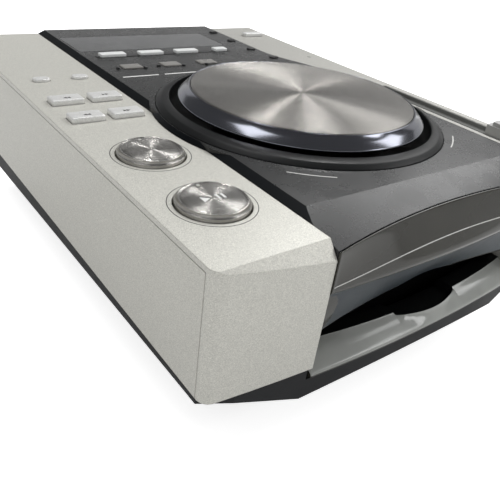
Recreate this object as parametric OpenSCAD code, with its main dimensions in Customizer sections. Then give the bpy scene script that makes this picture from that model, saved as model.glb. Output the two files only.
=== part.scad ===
// Tabletop disc player for DJ use: a slot loader with a jog wheel, cue and play keys
// and a tempo slider. Millimetres, +Z up, front towards -Y, and the origin under the
// middle of the feet. Inside the file the pieces are drawn in "deck" coordinates: x from
// the left side, y from the front left corner, z from the table; deck() moves them home.

/* [Casing] */
// Width over both silver sides
body_w = 218; // [206:1:232]
// Length of the silver sides, from the front corner to the rear panel
body_d = 282.4; // [272:0.2:300]
// How far the front stands forward of the side at its corners
bow_edge = 1.3; // [0.8:0.1:2.4]
// Further bulge of the front from the corners to the middle
bow = 6.9; // [4:0.1:9]
// Radius of the upright front corners
corner_r = 5; // [3:0.5:7]
// Height of the silver top above the table
top_z = 96.5; // [94:0.5:104]
// Height of the silver sides
side_h = 55; // [52:0.5:58]
// Thickness of the moulded covers
wall = 2.2; // [1.6:0.1:2.8]
// Thickness of the side panels
panel_t = 2.4; // [1.8:0.1:3]
// Gap at each seam between casing pieces
seam = 0.3; // [0.2:0.05:0.5]
// Width of the left silver block
left_w = 46.4; // [45:0.1:49]
// Fall of the sloping front edge of the silver top for each mm forward
bevel_slope = 1.2; // [0.9:0.05:1.5]
// Where that sloping edge starts, forward of the side's front corner
bevel_start = 0.7; // [0.3:0.1:1.2]

/* [Base] */
// Height of the feet
foot_h = 8.5; // [6:0.5:11]
// Radius of a foot
foot_r = 7; // [5:0.1:9]
// Sheet thickness of the base pan
pan_t = 1.5; // [1:0.1:2]
// Height of the dark strip that shows under the silver sides
strip_h = 4.5; // [3:0.1:6]
// Setback of that strip from the sides
strip_in = 1.2; // [0.8:0.1:2.5]
// Setback of the pan's floor from the sides
floor_in = 18; // [16:0.5:22]
// Height of the posts that carry the circuit boards
post_h = 5; // [4:0.5:7]

/* [Console] */
// Height of the black console above the silver top
console_h = 2; // [1.4:0.1:3]
// Plate thickness of the console
console_t = 2.5; // [2:0.1:3]
// Width of the sloping band along the console's left side
band_w = 4.4; // [3:0.1:6]
// Distance of the crease from the front corner
crease_y = 17.5; // [14:0.5:20]
// Fall of the sloping front facet for each mm forward
facet_slope = 0.214; // [0.15:0.005:0.28]
// Width of the right silver rail beside the console
rail_w = 28; // [26:0.1:30]
// Width of the right silver field behind the jog wheel
field_w = 42.5; // [38:0.5:44]
// Where the hollow seam under the facet lies at the middle
seam_y = 1.75; // [0.5:0.05:3]
// Distance of the jog wheel's axis to the right of the console's middle
jog_off = 2.9; // [0:0.1:4]
// Radius of the hollow seam's curve, seen from above
seam_r = 397; // [330:1:460]
// Height of the upright front face below the facet
face_h = 17; // [14:0.5:19]
// Depth of the disc mouth's upper lip below the silver top
lip_drop = 43; // [40:0.5:44]
// Height of the disc mouth at its lips
mouth_h = 10.5; // [9:0.5:12]
// Setback of the upper lip behind the hollow seam
lip_in = 4; // [3:0.1:6]
// Width of the finger notch in both lips
notch_w = 42; // [30:1:50]
// Depth of the finger notch in the lower lip
notch_d = 5; // [3:0.1:6]

/* [Jog wheel] */
// Distance of the jog wheel's axis from the front corner
jog_y = 103.8; // [100:0.1:108]
// Outer radius of the wheel's bright rim
rim_r = 63.4; // [58:0.1:64.5]
// Radius of the spun face
face_r = 57.2; // [50:0.1:58]
// Height of the spun face above the silver top
face_z = 10.2; // [9:0.1:12]
// Height of the rim's widest edge above the silver top
rim_z = 5.2; // [4.4:0.1:6]
// Inner radius of the raised ring round the wheel
ring_in_r = 67.5; // [66:0.1:69]
// Outer radius of the raised ring
ring_out_r = 73.2; // [72.4:0.1:73.6]
// Height of the raised ring above the silver top
ring_z = 4; // [3.2:0.1:4.6]
// Depth of the well under the wheel, below the silver top
well_d = 8; // [7:0.5:9]
// Radius of the wheel's steel shaft
shaft_r = 4; // [3:0.1:5]
// Radial clearance of every running shaft
run_fit = 0.05; // [0.02:0.01:0.08]

/* [Keys] */
// Radius of the holes for the two round keys
key_hole_r = 14.5; // [13.5:0.1:15]
// Gap round a round key
key_gap = 0.6; // [0.4:0.05:0.9]
// Distance between the two round keys
key_pitch = 46; // [40:0.5:47]
// Distance of the play key's axis from the front corner
play_y = 35.9; // [34:0.1:38]
// Distance of both round keys' axes from the left side
key_x = 23.3; // [21:0.1:25]
// Height of a round key's face above the silver top
key_z = 2.5; // [2:0.1:3]
// Width of the four silver search keys
search_w = 15.4; // [13:0.1:16]
// Depth of the four silver search keys
search_d = 8.4; // [7:0.1:9]
// Gap round every small key
small_gap = 0.25; // [0.2:0.01:0.35]
// Height of the search keys above the silver top
search_z = 2.6; // [1.4:0.1:3]
// Width of a clear mode key
mode_w = 16; // [13:0.5:18]
// Depth of a clear mode key
mode_d = 5.4; // [4.4:0.1:6]
// Distance from one mode key to the next
mode_pitch = 25.3; // [22:0.1:26]
// Width of a loop key
loop_w = 12; // [11:0.5:14]
// Depth of a loop key
loop_d = 7.5; // [6:0.1:9]
// Length of the two oval folder keys
oval_w = 8.6; // [8:0.1:10]
// Width of the two oval folder keys
oval_d = 5.6; // [4.6:0.1:6]
// Travel of every key
press = 0.6; // [0.4:0.05:0.8]

/* [Tempo slider] */
// Width of the slider's channel
channel_w = 13.6; // [12:0.1:14]
// Length of the slider's channel
channel_l = 108; // [102:1:112]
// Depth of the slider's channel
channel_d = 2.2; // [1.8:0.1:3]
// Full travel of the tempo slider
slide_travel = 60; // [50:1:64]
// Width of the slider's knob
knob_w = 11; // [9:0.5:12]
// Length of the slider's knob along its travel
knob_l = 17; // [14:0.5:19]
// Height of the knob above the silver top
knob_z = 7; // [6:0.5:10]

/* [Disc drive] */
// Height of the disc's middle below the silver top
disc_drop = 48.4; // [47.5:0.1:49]
// Width of the drive's frame
drive_w = 138; // [134:1:140]
// Length of the drive's frame
drive_l = 152; // [146:1:156]
// Radius of the loading roller
roller_r = 4; // [3.4:0.1:4.4]
// Length of the loading roller
roller_l = 118; // [112:1:120]
// Radius of the turntable under the disc
table_r = 15; // [13:0.5:16]
// Travel of the laser pickup
sled_travel = 34; // [28:1:35]

/* [Rear] */
// How far the sockets stand out of the rear panel
jack_out = 5.4; // [4:0.1:7]
// Outer radius of a phono socket
phono_r = 4.2; // [4:0.05:4.6]
// Radius of a phono socket's hole
phono_bore_r = 1.6; // [1.4:0.05:1.8]
// Distance between the two phono sockets of a pair
phono_pitch = 14; // [12:0.5:16]

/* [Hidden] */
$fn = 64;
mid_x = body_w / 2;
bow_r = (mid_x * mid_x + bow * bow) / (2 * bow);
front_y = bow_edge + bow;
side_z = top_z - side_h;
// the disc drive and its mouth share the jog wheel's axis
con_x = (left_w + body_w - rail_w) / 2 + jog_off;
con_z = top_z + console_h;
con_r_x = body_w - rail_w;
field_x = body_w - field_w;
disc_z = top_z - disc_drop;
cue_y = play_y + key_pitch;
tiny = 0.01;

module deck() {
  translate([-mid_x, front_y - (front_y + body_d + jack_out) / 2, 0]) children();
}

// y of the bowed front, and of the hollow seam under the facet, at one x
function bow_y(x, inset = 0) = front_middle() - sqrt(pow(bow_r - inset, 2) - pow(x - mid_x, 2));
function front_middle() = bow_r - front_y;
function hollow_y(x) = seam_y - seam_r + sqrt(seam_r * seam_r - pow(x - con_x, 2));
// height of the facet's surface at one y
function facet_z(y) = con_z - facet_slope * (crease_y - y);
// share of the way from 0 to 1, with soft ends
function ease(t) = let (u = min(1, max(0, t))) u * u * (3 - 2 * u);

// footprint of the casing with its bowed front and round corners, drawn inset
module casing_2d(inset = 0) {
  corner_y = front_middle() - sqrt(pow(bow_r - corner_r, 2) - pow(mid_x - corner_r, 2));
  for (x = [corner_r, body_w - corner_r]) {
    translate([x, corner_y]) circle(r = corner_r - inset);
  }
  translate([inset, corner_y]) square([body_w - 2 * inset, body_d - corner_y]);
  intersection() {
    translate([mid_x, front_middle()]) circle(r = bow_r - inset, $fn = 720);
    translate([corner_r, -front_y]) square([body_w - 2 * corner_r, body_d / 2]);
  }
}

// a prism along X whose outline is given in (y, z)
module side_prism(x, w, points) {
  translate([x, 0, 0]) rotate([90, 0, 90]) linear_extrude(w) polygon(points);
}

// the wedge that the sloping front edge takes off the silver covers
module bevel_wedge(lower = 0) {
  reach = 30;
  side_prism(-1, body_w + 2, [
    [-bevel_start + lower, top_z - lower],
    [-bevel_start + lower - reach, top_z - lower - reach * bevel_slope],
    [-bevel_start - 2 * reach, top_z + reach],
    [-bevel_start + lower, top_z + reach]
  ]);
}

module pad_2d(w, d, r) {
  square([w - 2 * r, d], center = true);
  square([w, d - 2 * r], center = true);
  for (sx = [-1, 1], sy = [-1, 1]) {
    translate([sx * (w / 2 - r), sy * (d / 2 - r)]) circle(r = r, $fn = 32);
  }
}

module pad(w, d, h, r) {
  linear_extrude(h) pad_2d(w, d, r);
}

module tube(r_out, r_in, h) {
  difference() {
    cylinder(r = r_out, h = h);
    translate([0, 0, -1]) cylinder(r = r_in, h = h + 2);
  }
}

/* ---- where the console's right edge runs: wide at the front, narrow behind the jog ---- */
edge_start_y = jog_y + 50;
edge_end_y = jog_y + 104;
function right_edge(y) =
  con_r_x - (con_r_x - field_x) * ease((y - edge_start_y) / (edge_end_y - edge_start_y));
edge_steps = 14;
function edge_points(grow) = [
  for (i = [0:edge_steps])
    let (y = edge_start_y + (edge_end_y - edge_start_y) * i / edge_steps)
    [right_edge(y) + grow, y]
];

// footprint of the console without its round bulge, grown outwards by a seam
module console_2d(grow = 0) {
  polygon(concat(
    [[left_w + seam - grow, -front_y - 5]],
    [[con_r_x - seam + grow, -front_y - 5]],
    edge_points(grow - seam),
    [[field_x - seam + grow, body_d + grow], [left_w + seam - grow, body_d + grow]]
  ));
}
// how far the console bulges out round the raised ring
bulge = 2.5;
bulge_r = ring_out_r + bulge;
// the ring's outer edge stands wider at the front left than at the back right
ring_shift = [-2.8, -3];
module at_ring(z) {
  translate([con_x + ring_shift[0], jog_y + ring_shift[1], z]) children();
}

/* ---- keys ---- */
board_z = top_z - 11.6;
board_t = 1.6;
switch_h = 3.5;
stem_z = board_z + board_t + switch_h + press + 0.05;
flange = 1;
flange_t = 1;

// places of the keys in deck coordinates
track_y = 150.4;
// distance between the two rows of silver keys
row_pitch = 23.8;
search_y = track_y - row_pitch;
folder_y = 185;
folder_x = [key_x - 8.5, key_x + 11.9];
row_left = key_x - 8.9;
row_right = key_x + 10.5;
mode_x = left_w + 21.3;
mode_y = 215.2;
loop_x = mode_x + 1;
loop_y = 192;
oval_x = field_x - 5.5;
oval_y = 262;
oval_pitch = 24;
eject_x = body_w - 15;
eject_y = 257;
eject_w = 17;
eject_d = 5.4;

module key_body(w, d, h, r, surface, under) {
  // cap through the cover, a flange that keeps it in, and a stem down to its switch
  translate([0, 0, surface - under]) pad(w, d, under + h, r);
  translate([0, 0, surface - under - seam - flange_t]) pad(w + 2 * flange, d + 2 * flange, flange_t, r);
  translate([0, 0, surface - under - seam - tiny]) pad(w, d, seam + 2 * tiny, r);
  translate([0, 0, stem_z]) cylinder(r = 1.6, h = surface - under - seam - flange_t - stem_z + tiny);
}

module key_hole(w, d, r) {
  pad_2d(w + 2 * small_gap, d + 2 * small_gap, r + small_gap);
}

module silver_key(x, y, w, d, h, r) {
  translate([x, y, 0]) key_body(w, d, h, r, top_z, wall);
}

module console_key(x, y, w, d, h, r) {
  translate([x, y, 0]) key_body(w, d, h, r, con_z, console_t);
}

// a round metal key: bevelled rim, retaining flange and stem
module round_key(x, y) {
  cap_r = key_hole_r - key_gap;
  translate([x, y, 0]) {
    rotate_extrude($fn = 96) polygon([
      [0, top_z - wall - seam - flange_t],
      [cap_r + flange, top_z - wall - seam - flange_t],
      [cap_r + flange, top_z - wall - seam],
      [cap_r, top_z - wall - seam],
      [cap_r, top_z + key_z - 1.6],
      [cap_r - 1.4, top_z + key_z],
      [0, top_z + key_z]
    ]);
    translate([0, 0, stem_z]) cylinder(r = 2.4, h = top_z - wall - seam - flange_t - stem_z + tiny);
  }
}

module search_key(x, y) {
  color("gainsboro") deck() silver_key(x, y, search_w, search_d, search_z, 0.8);
}
module folder_key(x) {
  color("gainsboro") deck() silver_key(x, folder_y, oval_w, oval_d, oval_h, oval_d / 2 - tiny);
}
module cue_button() { color("silver") deck() round_key(key_x, cue_y); }
module play_button() { color("silver") deck() round_key(key_x, play_y); }
module track_back_button() { search_key(row_left, track_y); }
module track_next_button() { search_key(row_right, track_y); }
module search_back_button() { search_key(row_left, search_y); }
module search_next_button() { search_key(row_right, search_y); }
module folder_back_button() { folder_key(folder_x[0]); }
module folder_next_button() { folder_key(folder_x[1]); }
oval_h = 1.5;
// the last mode key is narrower and stands a little to the right
last_w = 9.4;
last_off = 0.7;
mode_h = 1.9;
loop_h = 0.6;
dot_h = 0.9;
dot_w = 6.4;
dot_d = 4;
dot_step_x = 3;
dot_step_y = 2;

function mode_at(i) = mode_x + i * mode_pitch + (i == 3 ? last_off : 0);
function dot_at(i) = [
  oval_x + (i == 3 ? dot_step_x : 0),
  oval_y - i * oval_pitch + (i == 3 ? dot_step_y : 0)];
module mode_key(i) {
  last = i == 3;
  console_key(mode_at(i), mode_y, last ? last_w : mode_w, mode_d, mode_h, 0.5);
}
module mode_button_a() { color("white") deck() mode_key(0); }
module mode_button_b() { color("white") deck() mode_key(1); }
module mode_button_c() { color("white") deck() mode_key(2); }
module mode_button_d() { color("white") deck() mode_key(3); }

module loop_key(i) {
  console_key(loop_x + i * mode_pitch, loop_y, loop_w, loop_d, loop_h, 0.5);
}
module loop_in_button() { color("dimgray") deck() loop_key(0); }
module loop_out_button() { color("dimgray") deck() loop_key(1); }
module loop_exit_button() { color("dimgray") deck() loop_key(2); }

module dot_key(i) {
  console_key(dot_at(i)[0], dot_at(i)[1], dot_w, dot_d, dot_h, dot_d / 2 - tiny);
}
module oval_button_a() { color("black") deck() dot_key(0); }
module oval_button_b() { color("black") deck() dot_key(1); }
module oval_button_c() { color("black") deck() dot_key(2); }
module oval_button_d() { color("black") deck() dot_key(3); }
module eject_button() {
  color("silver") deck() silver_key(eject_x, eject_y, eject_w, eject_d, search_z, 0.8);
}

/* ---- silver casing ---- */
module silver_keys_2d() {
  for (y = [play_y, cue_y]) {
    translate([key_x, y]) circle(r = key_hole_r, $fn = 96);
  }
  for (x = [row_left, row_right], y = [track_y, search_y]) {
    translate([x, y]) key_hole(search_w, search_d, 0.8);
  }
  for (x = folder_x) {
    translate([x, folder_y]) key_hole(oval_w, oval_d, oval_d / 2 - tiny);
  }
}

panel_top = top_z - wall - seam;
panel_front = 3.7;
// depth of the inner wall behind the front face of a silver block
inner_wall_l = 12;
floor_cut = side_z - 1;

// a silver cover between x0 and x1; x_in0 to x_in1 is the hollow behind its front wall
module silver_shell(x0, x1, x_in0, x_in1) {
  difference() {
    intersection() {
      translate([0, 0, side_z]) linear_extrude(side_h) casing_2d();
      translate([x0, -front_y - 1, 0]) cube([x1 - x0, body_d + front_y + 1, top_z + 1]);
    }
    bevel_wedge();
    difference() {
      translate([0, 0, floor_cut]) linear_extrude(top_z - wall - floor_cut) intersection() {
        casing_2d(wall);
        translate([x_in0, -front_y]) square([x_in1 - x_in0, body_d + front_y + 1]);
      }
      bevel_wedge(wall);
    }
    translate([x0 - 1, inner_wall_l, floor_cut])
      cube([x1 - x0 + 2, body_d, top_z - wall - floor_cut]);
  }
}

// clears the flush side panel behind the round front corner
module panel_room(x) {
  translate([x, panel_front - seam, floor_cut])
    cube([panel_t + seam + 1, body_d, panel_top + seam - floor_cut]);
}

boss_r = 2.5;
boss_h = top_z - wall - board_z - board_t;
boss_in = 6;
bosses = [
  for (x = [boss_in, left_w - boss_in - 1.4])
    for (y = [16, (cue_y + search_y) / 2, 200]) [x, y]
];
module left_cover() {
  color("silver") deck() for (p = bosses) {
    translate([p[0], p[1], board_z + board_t]) cylinder(r = boss_r, h = boss_h + tiny);
  }
  color("silver") deck() difference() {
    silver_shell(0, left_w, wall, left_w - wall);
    panel_room(-1);
    translate([0, 0, top_z - wall - 1]) linear_extrude(wall + 2) silver_keys_2d();
    at_ring(floor_cut) cylinder(r = bulge_r + seam, h = side_h + 4, $fn = 128);
  }
}

channel_x = body_w - 5.2 - channel_w / 2;
channel_y = 72;
slider_y = channel_y - 6;
// the silver line beside the console: a rib of the right cover, as high as the console
rib_w = 2.6;
rib_y = crease_y - console_h / facet_slope;

module right_cover() {
  color("silver") deck() difference() {
    union() {
      silver_shell(field_x, body_w, con_r_x + seam + wall, body_w - wall);
      side_prism(con_r_x, rib_w, [
        [rib_y, top_z], [crease_y, con_z], [edge_start_y, con_z],
        [edge_start_y, top_z - 1], [rib_y, top_z - 1]
      ]);
    }
    panel_room(body_w - panel_t - seam);
    translate([0, 0, floor_cut]) linear_extrude(side_h + 4) console_2d(seam);
    at_ring(floor_cut) cylinder(r = bulge_r + seam, h = side_h + 4, $fn = 128);
    translate([eject_x, eject_y, top_z - wall - 1])
      linear_extrude(wall + 2) key_hole(eject_w, eject_d, 0.8);
    translate([channel_x, channel_y, top_z - wall - 1])
      linear_extrude(wall + 2) pad_2d(channel_w, channel_l, 1);
  }
}

module left_side_panel() {
  color("silver") deck() translate([0, panel_front, side_z])
    cube([panel_t, body_d - panel_front, panel_top - side_z]);
}

module right_side_panel() {
  color("silver") deck() translate([body_w - panel_t, panel_front, side_z])
    cube([panel_t, body_d - panel_front, panel_top - side_z]);
}

/* ---- black console ---- */
window_w = field_x - left_w - 25.1;
window_d = 34;
window_t = 1.4;
window_y = 244;
window_x = left_w + 5.95 + window_w / 2;

module console_keys_2d() {
  for (i = [0:3]) {
    translate([mode_at(i), mode_y]) key_hole(i == 3 ? last_w : mode_w, mode_d, 0.5);
  }
  for (i = [0:2]) {
    translate([loop_x + i * mode_pitch, loop_y]) key_hole(loop_w, loop_d, 0.5);
  }
  for (i = [0:3]) {
    translate(dot_at(i)) key_hole(dot_w, dot_d, dot_d / 2 - tiny);
  }
}

con_under = con_z - console_t;
module console_panel() {
  color("dimgray") deck() difference() {
    union() {
      intersection() {
        side_prism(0, body_w, [
          [body_d, con_z], [crease_y, con_z],
          [-front_y - 4, facet_z(-front_y - 4)], [-front_y - 4, facet_z(-front_y - 4) - console_t],
          [crease_y, con_under], [body_d, con_under]
        ]);
        linear_extrude(con_z + 1) console_2d();
      }
      at_ring(0) rotate_extrude($fn = 128) polygon([
        [0, con_under], [bulge_r, con_under], [bulge_r, top_z],
        [ring_out_r + seam + 0.4, con_z], [0, con_z]
      ]);
    }
    // the sloping band down to the silver on the left, kept clear of the bulge
    difference() {
      translate([0, body_d + 1, 0]) rotate([90, 0, 0]) linear_extrude(body_d + front_y + 6) polygon([
        [left_w, top_z], [left_w + band_w, con_z], [left_w + band_w, con_z + 1],
        [left_w - 1, con_z + 1], [left_w - 1, top_z]
      ]);
      at_ring(0) cylinder(r = bulge_r + 0.5, h = con_z + 2, $fn = 128);
    }
    translate([con_x, seam_y - seam_r, con_under - 10]) cylinder(r = seam_r, h = 20, $fn = 720);
    at_ring(con_under - 1) cylinder(r = ring_out_r + seam, h = console_t + 4, $fn = 128);
    translate([0, 0, con_under - 1]) linear_extrude(console_t + 2) console_keys_2d();
    translate([window_x, window_y, con_z - window_t])
      pad(window_w + 2 * small_gap, window_d + 2 * small_gap, 3, 2);
    translate([window_x, window_y, con_under - 1]) pad(window_w - 6, window_d - 6, 4, 2);
  }
}

module display_window() {
  color("black") deck() translate([window_x, window_y, con_z - window_t])
    pad(window_w, window_d, window_t, 2);
}

lcd_w = window_w - 12;
lcd_d = 25;
lcd_t = 4.2;
module lcd_module() {
  color("darkgreen") deck() translate([window_x, window_y, 0]) {
    translate([0, 0, con_under - lcd_t - 0.3]) pad(lcd_w + 8, lcd_d + 8, lcd_t, 1);
    translate([0, 0, con_under - 0.3 - tiny])
      pad(lcd_w - 4, lcd_d - 4, con_z - window_t - con_under + tiny, 0.5);
  }
}

/* the glossy front: strips of one profile, swept along x as a closed skin */
sweep_n = 36;
front_x0 = left_w + seam;
front_x1 = con_r_x - seam;
function sweep_x(i) = front_x0 + (front_x1 - front_x0) * i / sweep_n;
module sweep(rings) {
  n = len(rings[0]);
  m = len(rings);
  polyhedron(
    points = [for (r = rings) for (p = r) p],
    faces = concat(
      [for (i = [0:m - 2]) for (j = [0:n - 1]) [i * n + j, i * n + (j + 1) % n, (i + 1) * n + j]],
      [for (i = [0:m - 2]) for (j = [0:n - 1])
        [i * n + (j + 1) % n, (i + 1) * n + (j + 1) % n, (i + 1) * n + j]],
      [[for (j = [n - 1:-1:0]) j]],
      [[for (j = [0:n - 1]) (m - 1) * n + j]]
    )
  );
}

skin_t = 2.4;
lip_t = 3;
face_low_z = top_z - face_h - 3;
lip_z = top_z - lip_drop;
lower_z = lip_z - mouth_h;
arch_h = 1.6;
function arch(x, w) = let (u = (x - con_x) / (w / 2)) abs(u) < 1 ? cos(90 * u) : 0;
function lip_y(x) = hollow_y(x) + lip_in;
// outline of the front at one x: down the glossy face, round its lower edge, back along the
// underside to the upper lip, and home along the inner side
top_edge_t = 0.8;
function front_profile(x) =
  let (
    y0 = hollow_y(x) - seam, z0 = facet_z(y0) - 0.1,
    yt = y0 - top_edge_t, yb = min(bow_y(x), yt),
    ym = yt + 0.55 * (yb - yt), zm = z0 + 0.5 * (face_low_z - z0),
    yl = lip_y(x), zl = lip_z + arch_h * arch(x, notch_w * 0.9),
    under = z0 - console_t - seam
  )
  [
    [x, y0, z0], [x, yt, z0 - 0.1], [x, ym, zm],
    [x, yb, face_low_z + 1.4], [x, yb + 0.5, face_low_z - 0.6], [x, yb + 1.6, face_low_z - 2.4],
    [x, yl - 1.4, zl + 2.4], [x, yl - 0.6, zl + 0.5], [x, yl + 0.4, zl],
    [x, yl + lip_t, zl + 0.6], [x, yl + lip_t - 0.4, zl + 3],
    [x, yb + 1.6 + lip_t, face_low_z - 1],
    [x, max(ym, y0) + skin_t, zm], [x, y0 + skin_t, under - 0.4], [x, y0, under]
  ];

module console_front() {
  color("gray") deck() sweep([for (i = [0:sweep_n]) front_profile(sweep_x(i))]);
}

lower_in_y = 0.8;
lower_in_r = 390;
chin_drop = 6;
chin_t = 1.6;
shelf_l = 9;
function lower_y(x) = lower_in_y + lower_in_r - sqrt(lower_in_r * lower_in_r - pow(x - con_x, 2));
function chin_profile(x) =
  let (yi = lower_y(x), yb = bow_y(x))
  [
    [x, yi + shelf_l, lower_z - 0.4], [x, yi + 1.2, lower_z], [x, yi, lower_z - 0.3],
    [x, yb + 0.9, lower_z - chin_drop + 1], [x, yb + 0.2, lower_z - chin_drop],
    [x, yb + 0.2, lower_z - chin_drop - 0.8],
    [x, yb + 1, lower_z - chin_drop - chin_t], [x, yi + shelf_l, lower_z - chin_drop - chin_t]
  ];
notch_r = (notch_w * notch_w / 4 + notch_d * notch_d) / (2 * notch_d);
module lower_lip() {
  color("gray") deck() difference() {
    sweep([for (i = [0:sweep_n]) chin_profile(sweep_x(i))]);
    translate([con_x, lower_in_y - notch_d + notch_r, lower_z - 3.4]) intersection() {
      cylinder(r = notch_r, h = 6);
      translate([-notch_w / 2, -notch_r - 1, -1]) cube([notch_w, notch_r - 4 + notch_d, 8]);
    }
  }
}

/* ---- base ---- */
chin_low = lower_z - chin_drop - chin_t;
rim_top = side_z - seam;
floor_y = 10;
floor_back = 14;
// each front corner is slanted: where that slope leaves the floor, how far it is turned, and
// how far it runs out on its way up to the strip
slant_y = 30;
slant_turn = 28.8;
slant_run = 30;
module slant_form(t) {
  translate([floor_in, slant_y, 0]) rotate([0, 0, -slant_turn]) side_prism(-body_d, 2 * body_d, [
    [-slant_run + t, rim_top + 1], [-slant_run + t, rim_top - strip_h],
    [t, foot_h + t], [2 * body_d, foot_h + t], [2 * body_d, rim_top + 1]
  ]);
}

// the strip grows towards the rear: its lower edge falls from here by so many degrees
fall_y = 11;
fall_turn = 1.8;
// how far the side slope comes in for each mm down
side_run = (floor_in - strip_in) / (rim_top - strip_h - foot_h);
// the pan's outer form, or its hollow when shrunk by the sheet's thickness
module pan_form(t) {
  low = foot_h + t;
  strip_z = rim_top - strip_h;
  in_low = floor_in + t + side_run * foot_h;
  intersection() {
    translate([0, 0, low]) linear_extrude(rim_top - low + (t > 0 ? 1 : 0)) casing_2d(strip_in + t);
    translate([0, fall_y, strip_z]) rotate([-fall_turn, 0, 0]) translate([0, body_d, -strip_z])
      rotate([90, 0, 0]) linear_extrude(body_d + front_y + 20) polygon([
        [strip_in + t, rim_top + 2 * foot_h], [strip_in + t, strip_z], [in_low, t],
        [body_w - in_low, t], [body_w - strip_in - t, strip_z],
        [body_w - strip_in - t, rim_top + 2 * foot_h]
      ]);
    side_prism(0, body_w, [
      [-front_y - 1 + t, rim_top + 1], [-front_y - 1 + t, chin_low - strip_h - 0.3],
      [floor_y + t, low], [body_d - floor_back - t, low],
      [body_d - t, rim_top - strip_h], [body_d - t, rim_top + 1]
    ]);
    slant_form(t);
    translate([body_w, 0, 0]) mirror([1, 0, 0]) slant_form(t);
  }
}

board_post_r = 3;
screw_bore_r = 1.45;
drive_z = disc_z - 22;
drive_x = con_x - drive_w / 2;
drive_y = 17;
post_in = 9;
drive_posts = [
  for (x = [drive_x + post_in, drive_x + drive_w - post_in])
    for (y = [drive_y + post_in, drive_y + drive_l - post_in]) [x, y]
];
main_x = 24;
main_y = 184;
main_w = 84;
main_d = 78;
power_w = 76;
power_x = body_w - 24 - power_w;
board_in = 5;
function corners(x, y, w, d, e) = [for (cx = [x + e, x + w - e], cy = [y + e, y + d - e]) [cx, cy]];
board_posts = concat(
  corners(main_x, main_y, main_w, main_d, board_in), corners(power_x, main_y, power_w, main_d, board_in)
);
foot_bore_r = 2;
front_foot = [75, 17.5];
rear_foot = [31, 200];
feet_at = [
  front_foot, [body_w - front_foot[0], front_foot[1]],
  rear_foot, [body_w - rear_foot[0], rear_foot[1]]
];

module base_pan() {
  color("darkslategray") deck() difference() {
    union() {
      difference() {
        pan_form(0);
        pan_form(pan_t);
        translate([left_w - 1, -front_y - 2, chin_low - seam])
          cube([con_r_x - left_w + 2, lower_in_y + shelf_l + front_y + 4, rim_top]);
      }
      for (p = drive_posts) {
        translate([p[0], p[1], foot_h]) cylinder(r = 4, h = drive_z - foot_h);
      }
      for (p = board_posts) {
        translate([p[0], p[1], foot_h]) cylinder(r = board_post_r, h = pan_t + post_h);
      }
    }
    for (p = drive_posts) {
      translate([p[0], p[1], drive_z - 9]) cylinder(r = screw_bore_r, h = 10);
    }
    for (p = board_posts) {
      translate([p[0], p[1], foot_h + pan_t]) cylinder(r = screw_bore_r, h = post_h + 1);
    }
    for (p = feet_at) {
      translate([p[0], p[1], foot_h - 1]) cylinder(r = foot_bore_r, h = pan_t + 2);
    }
  }
}

// rubber feet: each has a plug through the pan
module feet() {
  color("black") deck() for (p = feet_at) {
    translate([p[0], p[1], 0]) {
      rotate_extrude() polygon([
        [0, 0], [foot_r - 1.6, 0], [foot_r - 0.5, 0.5], [foot_r, 1.6],
        [foot_r, foot_h - 1.2], [foot_r - 1, foot_h], [0, foot_h]
      ]);
      translate([0, 0, foot_h - tiny]) cylinder(r = foot_bore_r - 0.1, h = pan_t + 1.2);
    }
  }
}

/* ---- rear ---- */
rear_z = rim_top + seam;
rear_h = top_z - wall - seam - rear_z;
phono_z = side_z + 14;
phono_x = 40;
digital_x = 80;
control_x = 104;
control_r = 3.5;
control_bore_r = 1.75;
switch_x = body_w - 32;
switch_w = 13;
switch_hh = 9;
inlet_x = body_w - 62;
inlet_w = 21;
inlet_hh = 16;
inlet_z = side_z + 15;
inlet_deep = 16;
// how far the inlet's shroud stands out of the rear panel
inlet_rim = 5;

module rear_panel() {
  color("dimgray") deck() difference() {
    translate([panel_t + seam, body_d - panel_t, rear_z])
      cube([body_w - 2 * (panel_t + seam), panel_t, rear_h]);
    translate([0, body_d + 1, 0]) rotate([90, 0, 0]) linear_extrude(panel_t + 2) {
      for (j = jacks) {
        translate([j[0], phono_z]) circle(r = j[1] + collar + 0.2);
      }
      translate([switch_x, inlet_z])
        square([switch_w + 4 * small_gap, switch_hh + 4 * small_gap], center = true);
      translate([inlet_x, inlet_z]) square([inlet_w, inlet_hh], center = true);
      for (p = rear_screws) {
        translate(p) circle(r = 1.6);
      }
    }
  }
}
rear_screws = [[12, side_z + 8], [body_w - 12, side_z + 8], [12, top_z - 12], [body_w - 12, top_z - 12]];

// the sockets: place, radius and bore of each; a collar fills the panel's hole, flush with it
jacks = [
  [phono_x, phono_r, phono_bore_r], [phono_x + phono_pitch, phono_r, phono_bore_r],
  [digital_x, phono_r, phono_bore_r], [control_x, control_r, control_bore_r]
];
collar = 1.2;
jack_deep = 14;
block_y = body_d - panel_t - 2 * seam;
// length of a socket's narrow bore from its mouth, and how much wider it is behind
jack_bore_l = jack_out - 0.2;
jack_step = 0.9;
// depth of the holes in the block behind the sockets
block_hole = 6;
module rearward(x, y, r, h) {
  translate([x, y, phono_z]) rotate([90, 0, 0]) cylinder(r = r, h = h);
}

// each socket is a turned tube in front of the common block
module jack_board() {
  color("gold") deck() {
    for (j = jacks) {
      difference() {
        union() {
          rearward(j[0], body_d + jack_out, j[1], jack_out + tiny);
          rearward(j[0], body_d, j[1] + collar, panel_t + seam);
        }
        rearward(j[0], body_d + jack_out + 1, j[2], jack_bore_l + 2);
        rearward(j[0], body_d + jack_out - jack_bore_l, j[2] + jack_step, jack_deep);
      }
    }
    difference() {
      translate([phono_x - 8, block_y - jack_deep, phono_z - 7])
        cube([control_x - phono_x + 16, jack_deep, 14]);
      for (j = jacks) {
        rearward(j[0], block_y + 1, j[2] + jack_step, block_hole + 1);
      }
    }
  }
}

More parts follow.
